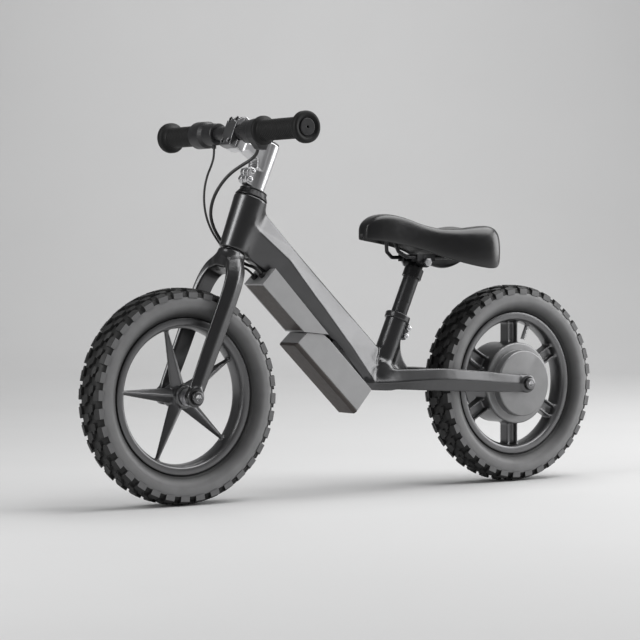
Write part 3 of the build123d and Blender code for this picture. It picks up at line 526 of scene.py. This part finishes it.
def beam():
    secs = []
    a, b, c = S(3, -6), S(44, -6), S(78, -6)
    secs.append(sec((a[0], a[2]), (b[0], b[2]), (c[0], c[2]), 9, 20.5, 13))
    for c, (hb, hr, ht) in (((140, 352), (9, 21.0, 9)), ((80, 292), (9, 21.5, 8.5)), ((20, 232), (11, 21.5, 9))):
        e = (c[0] - 0.69, c[1] + 0.72)
        low = BOT[1:] if c[0] < 55 else BOT[:2]
        secs.append(sec(x_line(c, e, *low), x_line(c, e, *RDG), x_line(c, e, *TOP), hb, hr, ht))
    EB, ET = (-20.0, 160.5), (-41.0, 223.1)
    ER = (EB[0] + (ET[0] - EB[0]) * (172.0 - EB[1]) / (ET[1] - EB[1]), 172.0)
    secs.append(sec(EB, ER, ET, 18, 21.5, 10))
    return loft(secs)


def stay(sd):
    rings = []
    rows = [(-14, 2, 19, 159.5, 168, 176), (-60, 6, 33, 157, 168, 187), (-100, 24, 44, 155, 170, 188.5), (-150, 34.8, 48.8, 152, 170.5, 188),
            (-225, 36.2, 49.3, 148.5, 165.5, 182), (-258, 39.3, 49.3, 147, 162, 178.5), (XR, 39.5, 49.3, 146.0, 158.5, 172.5)]
    for x, yi, yo, zb, zr, zt in catmull(rows, 4):
        yi, yo = max(yi, 2), min(yo, 49.3)
        ym = yi + 0.55 * (yo - yi)
        rings.append([(x, sd * yi, zb + 2), (x, sd * ym, zb), (x, sd * yo, zr), (x, sd * ym, zt), (x, sd * yi, zt - 1)])
    return loft(rings)


def build_frame():
    sh = Shell((-334, -50, 143), (246, 50, 460), 1.25)
    head = revolve([(0.0, 0), (20.2, 0), (21.4, 1.2), (25.4, HEAD_LEN - 1.5), (24.4, HEAD_LEN), (0.0, HEAD_LEN)], S(0), SDIR, SN, 96)
    sh.add(beam())
    sh.add(head, 9)
    seat = cyl(Q(-100), QDIR, 16.5, 99.0, 72)
    sh.add(prism([(-2, 165), (-12, 159.5), (-62, 157), (-70, 186), (-44, 200), (-20, 180)], xz, -17, 17), 6)
    st = sh.field(seat)
    web = sh.field(prism([(-30, 208), (-46, 217), (-58, 226), (-69, 240), (-66, 212), (-48, 180)], xz, -7, 7))
    sh.add(Shell.smin(st, web, 5), 14)
    sh.add(prism([(-84, 226), (-92, 204), (-103, 188), (-80, 180), (-50, 180), (-60, 200)], xz, -9, 9), 6)
    for sd in (1, -1):
        s = sh.field(stay(sd))
        e = sh.field(ycyl(XR, ZA, sd * 39.5, sd * 49.3, 14.4))
        sh.add(Shell.smin(s, e, 5), 8)
    sh.cut(prism(CTRL, xz, -31, 31))
    sh.cut(prism(BATT, xz, -25, 25))
    sh.cut(cyl(Q(-98), QDIR, 12.75, 110))
    sh.cut(cyl(S(-3), SDIR, 15.0, 12))
    sh.cut(cyl(S(HEAD_LEN - 9), SDIR, 15.0, 14))
    sh.cut(cyl(S(0), SDIR, 12.6, HEAD_LEN))
    sh.cut(cyl(S(-36), SDIR, 29.0, 35.7, 96))
    sh.cut(prism([(-34, 8), (3, 8), (3, 26), (-34, 26)], um, -1.0, 1.0))
    for sd in (1, -1):
        sh.cut(ycyl(XR, ZA, sd * 30, sd * 60, 6.0))
        sh.cut(ycyl(XR, ZA, sd * 32, sd * 39.5, 17.0))
    sh.blur(1)
    return obj("main_frame_shell", sh.mesh(), "frame", PAINT, ["main_frame"], relax=5)


build_frame()

# ---------------------------------------------------------------- fork
def leg(sd):
    rows = [(6, -15.5, 90, 25, 18.5, 1.0), (26, -24, 62, 21, 17.5, 2.5), (38.5, -47, 22, 15.5, 16.5, 3.8),
            (42.0, -85, 3, 12.5, 16.0, 4.05), (41.6, -150, 0, 11.5, 15.5, 4.05), (41.5, -222, 0, 11.0, 13.6, 4.05)]
    rings = []
    for y, t, ang, th, hw, n0 in catmull(rows, 4):
        a = math.radians(max(ang, 0.0))
        oy, ot = math.cos(a), math.sin(a)
        rings.append([S(t + ot * th * d, n0 + hw * w, sd * (y + oy * th * d))
                      for d, w in ((-0.5, 0.78), (-0.5, -0.78), (0.02, -1.0), (0.5, -0.12), (0.5, 0.12), (0.02, 1.0))])
    return loft(rings)


def build_fork():
    sh = Shell((205 - 30, -50, 140), (340, 50, 400), 1.2)
    sh.add(revolve([(0.0, -2.2), (20.0, -2.2), (21.2, -3.4), (21.2, -24), (19.0, -30), (0.0, -30)], S(0), SDIR, SN, 96))
    for sd in (1, -1):
        s = sh.field(leg(sd))
        e = sh.field(ycyl(XF, ZA, sd * 36, sd * 47, 14.4))
        sh.add(Shell.smin(s, e, 5), 9)
    for sd in (1, -1):
        sh.cut(ycyl(XF, ZA, sd * 30, sd * 60, 5.0))
    sh.blur(1)
    m = sh.mesh()
    m.join(revolve([(0.0, -8), (11.0, -8), (11.0, 160), (8.6, 160), (8.6, 60), (0.0, 60)], S(0), SDIR, SN, 48))
    return obj("fork_shell", m, "steering", FORKP, ["fork"], relax=5)


build_fork()

# ---------------------------------------------------------------- wheels
def rim_profile():
    prof = [(116.0, 14.4), (116.0, 15.8), (115.4, 16.4), (112.5, 17.0), (105.5, 16.7), (104.2, 16.0), (102.0, 12.5), (100.4, 8.5), (99.7, 4.0), (99.6, 0.0)]
    back = [(106.4, 0.0), (106.8, 6.6), (110.0, 8.2), (110.2, 12.8)]
    return prof + [(r, -y) for r, y in reversed(prof[:-1])] + [(r, -y) for r, y in reversed(back)] + back[1:]


def build_front_rim():
    sh = Shell((XF - 118, -24, ZA - 118), (XF + 118, 24, ZA + 118), 1.25)
    hub = rev_y(XF, ZA, [(0.0, -22), (16.0, -22), (17.5, -20), (17.5, -15), (15.5, -13), (15.5, 13), (17.5, 15), (17.5, 20), (16.0, 22), (0.0, 22)], 72)
    star = M()
    for k in range(5):
        a = math.radians(5 + 72 * k)
        e = (math.cos(a), math.sin(a))

        def pt(r, w, y):
            return (XF + e[0] * r - e[1] * w, y, ZA + e[1] * r + e[0] * w)
        star.join(loft([[pt(5, 13.5, 0), pt(5, 0, 16), pt(5, -13.5, 0), pt(5, 0, -16)],
                        [pt(104, 3.0, 0), pt(104, 0, 4.3), pt(104, -3.0, 0), pt(104, 0, -4.3)]]))
    d = sh.field(star)
    sh.add(d)
    sh.add(hub, 3)
    ring = sh.field(rev_y(XF, ZA, rim_profile(), 144))
    sh.add(ring, 4)
    sh.cut(ycyl(XF, ZA, -30, 30, 6.2))
    for sd in (1, -1):
        sh.cut(ycyl(XF, ZA, sd * 14, sd * 30, 13.0))
    sh.blur(1)
    m = sh.mesh()
    return obj("front_rim_cast", m, "front_wheel", RIMP, ["front_rim"], relax=3)


def build_rear_rim():
    sh = Shell((XR - 118, -36, ZA - 118), (XR + 118, 24, ZA + 118), 1.25)
    ring = sh.field(rev_y(XR, ZA, rim_profile(), 144))
    shell = sh.field(rev_y(XR, ZA, [(60.5, -34), (65.5, -34), (65.5, 19.5), (60.5, 19.5)], 144))
    sp = None
    for k in range(6):
        a = math.radians(90 + 60 * k)
        e = (math.cos(a), math.sin(a))

        def box(r0, r1, w0, w1, y):
            def pt(r, w, yy):
                return (XR + e[0] * r - e[1] * w, yy, ZA + e[1] * r + e[0] * w)
            return loft([[pt(r, w0, -y), pt(r, w1, -y), pt(r, w1, y), pt(r, w0, y)] for r in (r0, r1)])
        m = box(61, 103, -11, 11, 1.8).join(box(61, 103, 7.7, 11, 10)).join(box(61, 103, -11, -7.7, 10))
        f = sh.field(m)
        sp = f if sp is None else np.minimum(sp, f)
    sh.add(ring)
    sh.add(Shell.smin(shell, sp, 2.5), 3.5)
    sh.cut(ycyl(XR, ZA, -34.5, 20, 60.5, 128))
    sh.blur(1)
    return obj("rear_rim_cast", sh.mesh(), "rear_wheel", RIMP, ["rear_rim"], relax=3)


build_front_rim()
build_rear_rim()


def tyre(x, name, body, node):
    """Carcass turned about the axle; the tread blocks stand on it."""
    half = [(110.4, 12.6), (115.6, 13.8), (116.6, 14.4), (117.4, 15.6), (117.9, 16.6), (118.9, 17.3), (119.2, 18.4), (120.9, 20.4), (123.4, 23.4), (126.3, 25.9), (129.0, 27.5), (132.0, 28.5), (135.5, 28.9),
            (139.0, 28.7), (142.2, 28.0), (145.4, 26.9), (148.4, 25.2), (150.9, 22.6), (152.7, 18.6), (153.8, 13.6), (154.3, 9.0), (154.5, 4.5), (154.6, 0.0)]
    half = [(r, min(y, 28.5)) for r, y in half]
    inner = [(147.5, 0.0), (146.6, 9.0), (144.0, 16.0), (139.8, 21.5), (134.5, 24.0), (129.0, 23.6), (123.0, 20.0), (118.0, 13.5), (114.2, 10.6), (110.4, 9.2)]
    prof = half + [(r, -y) for r, y in reversed(half[:-1])] + [(r, -y) for r, y in reversed(inner)] + inner[1:]
    m = rev_y(x, ZA, prof, 216)
    o = obj(name, m, body, sidewall_painted_shade(name + "_rubber", x), [node], angle=50)
    o.data.materials.append(TREAD)
    for p in o.data.polygons:
        c = p.center
        if math.hypot(c.x - x * 0.001, c.z - ZA * 0.001) > 0.1462:
            p.material_index = 1
    # tread blocks: outline in (degrees, y), mapped on to the crown
    def top(y):
        y = abs(y)
        return 159.0 - 0.0 if y <= 8.0 else 159.0 - 0.0125 * (y - 8.0) ** 2 - 0.07 * (y - 8.0)

    def base(y):
        y = abs(y)
        return 151.5 if y < 12 else (150.0 if y < 18 else (148.0 if y < 24 else 144.5))
    pitch = 10.0

    def block(poly, c, lift=0.0, taper=0.9):
        ca = sum(a for a, _ in poly) / len(poly)
        cy = sum(b for _, b in poly) / len(poly)
        rings = []
        for lev, sc in ((0.0, 1.0 + (1 - taper)), (1.0, 1.0)):
            ring = []
            for a, b in poly:
                aa, bb = ca + (a - ca) * sc, cy + (b - cy) * sc
                r = (base(b) if lev == 0 else top(b) + lift)
                if abs(bb) > 28.4:
                    bb = math.copysign(28.4, bb)
                an = math.radians(c + aa)
                ring.append((x + r * math.cos(an), bb, ZA + r * math.sin(an)))
            rings.append(ring)
        n = len(poly)
        mm = M()
        v = rings[0] + rings[1]
        f = [(i, (i + 1) % n, n + (i + 1) % n, n + i) for i in range(n)]
        for t in tessellate_polygon([[Vector((a, b * 0.36, 0)) for a, b in poly]]):
            f.append(tuple(t))
            f.append(tuple(n + i for i in reversed(t)))
        return mm.add(v, f)
    tr, lug = M(), M()
    for k in range(36):
        c = -90.0 + pitch * k
        # centre: a stepped chevron
        tr.join(block([(-3.1, -8.0), (0.3, -8.0), (2.6, -1.5), (3.1, 1.0), (3.1, 8.0), (-0.3, 8.0), (-1.6, 1.5), (-3.1, -1.5)], c, 0.0, 0.93))
        for sd in (1, -1):
            mid = [(-2.6, 10.8), (1.2, 10.8), (2.9, 13.2), (2.9, 18.2), (-0.6, 18.2), (-0.9, 15.4), (-2.6, 13.6)]
            tr.join(block([(a, sd * b) for a, b in mid], c + 5.0, 0.0, 0.93))
            sh = [(-2.9, 20.4), (1.4, 20.4), (2.9, 22.2), (2.9, 28.2), (-2.9, 28.2)]
            lug.join(block([(a, sd * b) for a, b in sh], c + 2.8, 0.35, 0.96))
    g = obj(name + "_side_lugs", lug, body, LUG, angle=35, bevel=0.5)
    g.parent = o
    g.data.materials.append(TREAD)
    for p in g.data.polygons:
        if abs(p.normal.y) < 0.6:
            p.material_index = 1
    t = obj(name + "_tread", tr, body, TREAD, angle=35, bevel=0.55)
    t.parent = o
    return o


tyre(XF, "front_tyre_carcass", "front_wheel", "front_tyre")
tyre(XR, "rear_tyre_carcass", "rear_wheel", "rear_tyre")

# ---------------------------------------------------------------- saddle
SAD = [(-17, 6, 401, 392), (-22, 13.5, 415, 390), (-38, 20, 426, 388), (-60, 23.5, 430, 385), (-90, 26, 425.5, 380), (-120, 31, 416, 373),
       (-150, 40, 410, 363), (-180, 54, 410, 354), (-205, 64, 413.5, 348), (-230, 68, 416, 345), (-248, 60, 411, 350), (-258, 40, 400, 362)]


def build_saddle():
    rows = catmull(SAD, 4)
    rings = []
    for x, w, zt, zb in rows:
        w, h = max(w, 3.0), max(zt - zb, 6.0)
        tail = min(max((-x - 120) / 110.0, 0.0), 1.0)
        dish = 7.5 * tail * min(max((x + 262) / 14.0, 0.0), 1.0)
        prof = [(0.0, zt - dish), (0.30 * w, zt - dish * 0.72), (0.55 * w, zt - 0.02 * h - dish * 0.22), (0.74 * w, zt - 0.05 * h), (0.86 * w, zt - 0.12 * h), (0.94 * w, zt - 0.24 * h),
                (0.985 * w, zt - 0.40 * h), (1.0 * w, zt - 0.62 * h), (0.99 * w, zt - 0.82 * h), (0.965 * w, zb), (0.90 * w, zb - 0.5), (0.85 * w, zb + 2.5), (0.80 * w, zt - 0.62 * h), (0.62 * w, zt - 0.42 * h - dish), (0.30 * w, zt - 0.36 * h - dish)]
        ring = [(x, y, z) for y, z in prof] + [(x, 0.0, zt - 0.34 * h - dish)] + [(x, -y, z) for y, z in reversed(prof[1:])]
        rings.append(ring)
    m = loft(rings)
    o = obj("saddle_skin", m, "saddle", SKIN, ["saddle_pad"], sub=1)
    return o


build_saddle()

# ---------------------------------------------------------------- grips
def grip(name, sd, node, body, y0):
    GB = 11.15
    prof = [(GB, y0), (15.6, y0)]
    if sd > 0:
        prof = [(GB, 70), (20.3, 70), (21.3, 70.6), (21.6, 72.0), (21.6, 75.6), (20.6, 77.2), (17.2, 78.0), (16.1, 79.4)]
    else:
        prof = [(GB, 101), (15.2, 101), (15.9, 101.8)]
    # shallow rings round the tube
    y = prof[-1][1] + 2.0
    while y < 166:
        prof += [(15.5, y), (15.7, y + 0.4), (15.7, y + 2.6), (15.45, y + 3.0), (15.15, y + 3.3), (15.15, y + 4.0)]
        y += 4.4
    prof += [(15.8, 168.5), (17.2, 171.2), (20.4, 173.2), (22.3, 174.2), (23.2, 175.8), (23.3, 177.5), (23.3, 181.6), (22.9, 183.4), (21.8, 184.5), (20.0, 184.9), (17.0, 185.0), (16.4, 184.2), (15.2, 183.1), (13.6, 183.0), (13.4, 178.2), (GB, 178.0)]
    prof = [(r, sd * yy) for r, yy in prof]
    return obj(name, rev_y(BAR_X, BAR_Z, prof, 96), body, GRIP, [node], angle=60)


grip("left_grip_ribbed", 1, "left_grip", "steering", 70)
grip("throttle_grip_ribbed", -1, "throttle_grip", "throttle", 101)

# ---------------------------------------------------------------- stem
EAR = [(101.0, 10), (99.8, 17), (101, 23), (105, 27.5), (110, 27.5), (113.3, 25.2), (116.5, 28), (122, 27.8), (126, 23.5), (127, 17), (126, 10)]
ARM = [(172, 8), (171, 20), (158, 26), (155.5, 44), (163, 50), (163, 60), (139.5, 74), (139.0, 49), (144.6, 40), (140.2, 19), (128, 14.5), (128, 6)]
CLAMP = [(179.5, 48), (189, 57), (189.5, 64.0), (179.0, 76.0), (152.5, 76.0), (139.2, 75.0), (139.0, 50)]
EB = [(107.0, 20.8), (120.0, 21.2)]
HOLES = [(t, y) for t in (145.8, 181.5) for y in (-8.5, 8.5)]


def build_stem():
    sh = Shell((140, -18, 445), (262, 18, 572), 0.8)
    T0 = HEAD_LEN + 13.2
    sh.add(revolve([(0.0, T0), (15.0, T0), (15.0, 172.5), (13.5, 174), (0.0, 174)], S(0), SDIR, SN, 96))
    sh.add(prism(EAR, tn, -10, 10), 3)
    arm = sh.field(prism(ARM, tn, -13.5, 13.5))
    cl = sh.field(prism(CLAMP, tn, -14, 14))
    sh.add(Shell.smin(arm, cl, 3), 4)
    sh.cut(cyl(S(T0 - 6), SDIR, 11.0, 110))
    sh.cut(ycyl(BAR_X, BAR_Z, -22, 22, 11.12))
    sh.cut(prism([(T0 - 1, 9), (128, 9), (128, 32), (T0 - 1, 32)], tn, -0.9, 0.9))
    for t, n in EB:
        p = S(t, n)
        sh.cut(ycyl(p[0], p[2], -20, 20, 2.55, 32))
    body = Shell((140, -18, 445), (262, 18, 572), 0.8)
    body.d = sh.d.copy()
    sh.cut(prism([(130, 62.8), (195, 62.8), (195, 92), (130, 92)], tn, -22, 22))
    for t, y in HOLES:
        sh.cut(cyl(S(t, 51, y), SN, 2.5, 14, 32))
    # row of fine notches down the front of the tube above the ears
    for k in range(5):
        t = 130.5 + 3.2 * k
        if t < 141:
            sh.cut(prism([(t, 14.0), (t + 1.2, 14.0), (t + 1.2, 18), (t, 18)], tn, -6.5, 6.5))
    sh.blur(1)
    obj("stem_body", sh.mesh(), "steering", SILVER, ["stem"], relax=3)
    # cap
    keep = body.field(prism([(130, 63.4), (195, 63.4), (195, 92), (130, 92)], tn, -22, 22))
    body.d = np.maximum(body.d, keep)
    for t, y in HOLES:
        body.cut(cyl(S(t, 60, y), SN, 2.55, 40, 32))
        body.cut(cyl(S(t, 63.4 + 7.5, y), SN, 4.3, 30, 32))
    # knurled band on the upper face
    for k in range(6):
        n = 65.4 + 1.9 * k
        body.cut(prism([(193, n), (193, n + 0.9), (179.8 - 1.1 * k * 1.9 * 0.5, n + 0.9), (179.8 - 1.1 * k * 1.9 * 0.5, n)], tn, -11, 11))
    body.blur(1)
    obj("bar_cap_body", body.mesh(), "steering", CAPM, ["bar_cap"], relax=2)


build_stem()


# ---------------------------------------------------------------- small turned and formed pieces
def build_clamp():
    sh = Shell((-145, -14 - 8, 225), (-60, 22, 290), 0.8)
    ring = sh.field(cyl(Q(-8), QDIR, 20.0, 10.0, 96))
    ears = sh.field(prism([(-33, 12), (-33, 20), (-30.5, 24), (-26, 26), (-21, 24), (-19.3, 22.8), (-17.5, 24), (-12.5, 26), (-8, 24.5), (-5, 19), (-5, 12)], um, -8, 8))
    sh.add(Shell.smin(ring, ears, 3))
    sh.cut(cyl(Q(-60), QDIR, 16.52, 60.9, 96))
    sh.cut(cyl(Q(-3), QDIR, 13.4, 9, 96))
    sh.cut(prism([(-40, 8), (8, 8), (8, 30), (-40, 30)], um, -1, 1))
    for u in (-26, -12.5):
        p = Q(u, 19.8)
        sh.cut(ycyl(p[0], p[2], -20, 20, 2.55, 32))
    sh.blur(1)
    obj("seat_clamp_forged", sh.mesh(), "frame", PAINT, ["seat_clamp"], relax=3)


build_clamp()


def build_lever():
    sh = Shell((195, 50, 515), (240, 71, 570), 0.8)
    ring = sh.field(rev_y(BAR_X, BAR_Z, [(0.0, 51.5), (18.6, 51.5), (18.6, 69.3), (0.0, 69.3)], 72))
    LX, LZ = BAR_X, BAR_Z
    pad = sh.field(prism([(LX - 17, LZ + 5), (LX - 17.5, LZ - 12), (LX - 10, LZ - 28.2), (LX + 3, LZ - 26.7), (LX + 15, LZ - 10), (LX + 8, LZ)], xz, 52.5, 68.0))
    sh.add(Shell.smin(ring, pad, 5))
    sh.cut(ycyl(LX, LZ, 40, 80, 11.2, 72))
    sh.blur(2)
    obj("thumb_lever_moulded", sh.mesh(), "lever", BLACKP, ["thumb_lever"], relax=3)


build_lever()

# ---------------------------------------------------------------- boxes
def offset_poly(pts, d):
    n = len(pts)
    area = sum(pts[i][0] * pts[(i + 1) % n][1] - pts[(i + 1) % n][0] * pts[i][1] for i in range(n))
    sgn = 1 if area > 0 else -1
    lines = []
    for i in range(n):
        p, q = pts[i], pts[(i + 1) % n]
        Ln = math.hypot(q[0] - p[0], q[1] - p[1])
        nx, nz = -(q[1] - p[1]) / Ln * sgn, (q[0] - p[0]) / Ln * sgn
        lines.append(((p[0] + nx * d, p[1] + nz * d), (q[0] + nx * d, q[1] + nz * d)))
    return [x_line(*lines[i - 1], *lines[i]) for i in range(n)]


def bevel_node(node, w=0.8, angle=30):
    """A finer copy of a CAD piece: same shape with its edges rounded."""
    src = NODES[node]
    me = src.data.copy()
    o = bpy.data.objects.new(node + "_finished", me)
    bpy.context.scene.collection.objects.link(o)
    import bmesh
    bm = bmesh.new()
    bm.from_mesh(me)
    bmesh.ops.remove_doubles(bm, verts=bm.verts, dist=2e-6)
    bmesh.ops.dissolve_limit(bm, angle_limit=math.radians(1.0), verts=bm.verts, edges=bm.edges)
    bm.to_mesh(me)
    bm.free()
    b = o.modifiers.new("bevel", "BEVEL")
    b.width = w * 0.001
    b.segments = 3
    b.limit_method = "ANGLE"
    b.angle_limit = math.radians(angle)
    for p in me.polygons:
        p.use_smooth = True
    me.set_sharp_from_angle(angle=math.radians(40))
    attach(o, src["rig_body"])
    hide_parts(node)
    PIECES.append(o)
    return o


for nd, w in (("battery_case", 0.9), ("battery_cover", 0.7), ("controller_case", 0.8), ("controller_cover", 0.5), ("motor_cover_left", 0.8),
              ("motor_cover_right", 0.8), ("headset_cover", 0.4), 
              ("front_axle_washers", 0.25), ("rear_axle_washers", 0.25), ("front_spacers", 0.3),
              ("rear_spacers", 0.3), ("throttle_housing", 0.5), ("lever_housing", 0.5), ("stem_top_cap", 0.5), ("bar_end_plugs", 0.5),
              ("cable_glands", 0.4), ("saddle_clamp", 0.5), ("saddle_clamp_cheeks", 0.5), ("saddle_clamp_bolt", 0.4), ("battery_rail", 0.4)):
    bevel_node(nd, w)

def socket_bolt(p, axis, head_r, head_h, af, depth, shank_r, shank_len, seg=48):
    """Cap screw: p is the seat under the head, axis points out of the head."""
    axis = Vector(axis).normalized()
    xd = axis.orthogonal().normalized()
    yd = axis.cross(xd)

    def ring(r, h, hexed=False):
        out = []
        for k in range(seg):
            a = 2 * math.pi * k / seg
            q = r / math.cos((a + math.pi / 6) % (math.pi / 3) - math.pi / 6) if hexed else r
            out.append(tuple(Vector(p) + axis * h + (xd * math.cos(a) + yd * math.sin(a)) * q))
        return out
    c = min(0.7, head_h * 0.2)
    return loft([ring(shank_r, -shank_len), ring(shank_r, 0), ring(head_r, 0), ring(head_r, head_h - c), ring(head_r - c * 0.4, head_h - c * 0.3),
                 ring(head_r - c, head_h), ring(af / 2 + 0.35, head_h, True), ring(af / 2, head_h - 0.35, True), ring(af / 2, head_h - depth, True), ring(af / 8, head_h - depth - 0.4)])


def bolts(name, rows, body, material, node):
    m = M()
    for r in rows:
        m.join(socket_bolt(*r))
    o = obj(name, m, body, material, [node], angle=35)
    if material is BOLT and rows[0][4] > 5.0:
        o.data.materials.append(BRIGHT)
        for p in o.data.polygons:
            c = p.center
            x0, z0, y0 = rows[0][0][0] * 0.001, rows[0][0][2] * 0.001, rows[0][0][1] * 0.001
            if math.hypot(c.x - x0, c.z - z0) < 0.0047 and abs(c.y) > y0 + 0.0005:
                p.material_index = 1
    return o


bolts("front_axle_screws", [((XF, sd * 48.2, ZA), (0, sd, 0), 9.0, 5.3, 8.0, 3.4, 2.9, 14.5) for sd in (1, -1)], "steering", BOLT, "front_axle_bolts")
bolts("rear_axle_screws", [((XR, sd * 50.5, ZA), (0, sd, 0), 9.0, 4.8, 8.0, 3.4, 2.9, 14.5) for sd in (1, -1)], "frame", BOLT, "rear_axle_bolts")
bolts("stem_pinch_screws", [((S(t, n)[0], 10.0, S(t, n)[2]), (0, 1, 0), 4.4, 4.6, 4.0, 2.8, 2.4, 21.5) for t, n in EB], "steering", BRIGHT, "stem_pinch_bolts")
bolts("seat_clamp_screws", [((Q(u, 19.8)[0], 8.0, Q(u, 19.8)[2]), (0, 1, 0), 4.3, 4.6, 4.0, 2.8, 2.4, 18.0) for u in (-26, -12.5)], "frame", BRIGHT, "seat_clamp_bolts")
bolts("bar_cap_screws", [(S(t, 63.1 + 7.52, y), SN, 4.1, 4.0, 4.0, 2.1, 2.4, 18.0) for t, y in HOLES], "steering", BOLT, "bar_cap_bolts")

# ---------------------------------------------------------------- cables
END_N = (0.7117, 0.7025)
GL = [(173.4, 8.0, 334.5), (176.4, -8.0, 331.5)]
G1 = (GL[0][0] + END_N[0] * 5.02, GL[0][1], GL[0][2] + END_N[1] * 5.02)
G2 = (GL[1][0] + END_N[0] * 5.02, GL[1][1], GL[1][2] + END_N[1] * 5.02)
G1B = (G1[0] + END_N[0] * 13, GL[0][1], G1[2] + END_N[1] * 13)
G2B = (G2[0] + END_N[0] * 13, GL[1][1], G2[2] + END_N[1] * 13)
ROUTES = {
    "lever_cable": (5.0, 264.0, [(206, 43, 526.98), (206.0, 43, 517), (209.5, 32, 507), (219, 18, 498), (230, 3, 486), (239.5, -10, 468), (244.4, -21, 448), (243.5, -29, 427),
                                 (236.0, -33, 409), (225.5, -34, 393), (214, -31, 378), (203.5, -22, 362.5), (195.5, -7, 351.5), G1B, G1]),
    "throttle_cable": (3.5, 226.8, [(217.5, -57.5, 525.98), (217.5, -57.5, 515), (223, -56, 501), (232.8, -54, 484), (239.3, -51.5, 464), (241.8, -48.5, 443), (239.5, -45.5, 422),
                                    (232.5, -43, 403), (222.5, -40.5, 387), (211, -37, 371.5), (201.5, -29, 358), (195, -18, 348), G2B, G2]),
}


def cable(node, dia, pts):
    cu = bpy.data.curves.new(node + "_line", "CURVE")
    cu.dimensions = "3D"
    cu.resolution_u = 12
    sp = cu.splines.new("NURBS")
    sp.points.add(len(pts) - 1)
    for p, q in zip(sp.points, pts):
        p.co = (q[0] * 0.001, q[1] * 0.001, q[2] * 0.001, 1.0)
    sp.order_u = 3
    sp.use_endpoint_u = True
    co = bpy.data.objects.new(node + "_line", cu)
    bpy.context.scene.collection.objects.link(co)
    bpy.context.view_layer.update()
    line = bpy.data.meshes.new_from_object(co)
    cu.bevel_depth = dia * 0.0005
    cu.bevel_resolution = 6
    cu.use_fill_caps = True
    bpy.context.view_layer.update()
    me = bpy.data.meshes.new_from_object(co)
    bpy.data.objects.remove(co)
    o = bpy.data.objects.new(node + "_sheathed", me)
    bpy.context.scene.collection.objects.link(o)
    me.materials.clear()
    me.materials.append(JACKET)
    for p in me.polygons:
        p.use_smooth = True
        p.material_index = 0
    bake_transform(o)
    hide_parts(node)
    return o


for nd, (dia, ln, pts) in ROUTES.items():
    cable(nd, dia, pts)


# ---------------------------------------------------------------- stage and light
def stage():
    pts = []
    n = 24
    R, x0 = 2.2, 0.0
    # floor runs level, then curves up into the wall, square to the camera's view
    prof = [(-8.0, 0.0), (3.6, 0.0)]
    for k in range(1, n + 1):
        a = math.pi / 2 * k / n
        prof.append((3.6 + R * math.sin(a), R - R * math.cos(a)))
    prof.append((3.6 + R, 7.0))
    d = Vector((math.cos(-2.201643), math.sin(-2.201643), 0))
    s = Vector((-d.y, d.x, 0))
    v, f = [], []
    for a, z in prof:
        for w in (-14, 14):
            p = d * a + s * w
            v.append((p.x, p.y, z))
    for i in range(len(prof) - 1):
        f.append((2 * i, 2 * i + 1, 2 * i + 3, 2 * i + 2))
    me = bpy.data.meshes.new("studio_floor")
    me.from_pydata(v, [], f)
    for p in me.polygons:
        p.use_smooth = True
    o = bpy.data.objects.new("studio_floor", me)
    bpy.context.scene.collection.objects.link(o)
    mat = mk("studio_paper", (0.60, 0.60, 0.60), 0.75, var=0.01, vscale=2.0, rvar=0.03)
    me.materials.append(mat)


stage()


def area(name, loc, target, size, power, size_y=None, color=(1, 1, 1)):
    l = bpy.data.lights.new(name, "AREA")
    l.energy = power
    l.shape = "RECTANGLE"
    l.size = size
    l.size_y = size_y or size
    l.color = color
    o = bpy.data.objects.new(name, l)
    o.location = loc
    o.rotation_euler = (Vector(target) - Vector(loc)).to_track_quat("-Z", "Y").to_euler()
    bpy.context.scene.collection.objects.link(o)
    return o


area("top_softbox", (-1.2, 0.3, 2.7), (-0.2, 0, 0.2), 3.0, 88, 2.4)
area("right_softbox", (-3.0, 1.1, 1.15), (0, 0, 0.3), 2.4, 70, 2.0)
area("left_strip", (2.4, 0.0, 1.3), (0.1, 0, 0.35), 0.8, 34, 2.0)
area("back_wash", (-1.9, -2.6, 3.2), (-3.6, -5.0, 0.9), 3.0, 62, 1.6)

w = bpy.data.worlds.new("studio")
bpy.context.scene.world = w
w.use_nodes = True
w.node_tree.nodes["Background"].inputs["Color"].default_value = (0.80, 0.80, 0.81, 1)
w.node_tree.nodes["Background"].inputs["Strength"].default_value = 0.22
bpy.context.scene.view_settings.view_transform = "Standard"
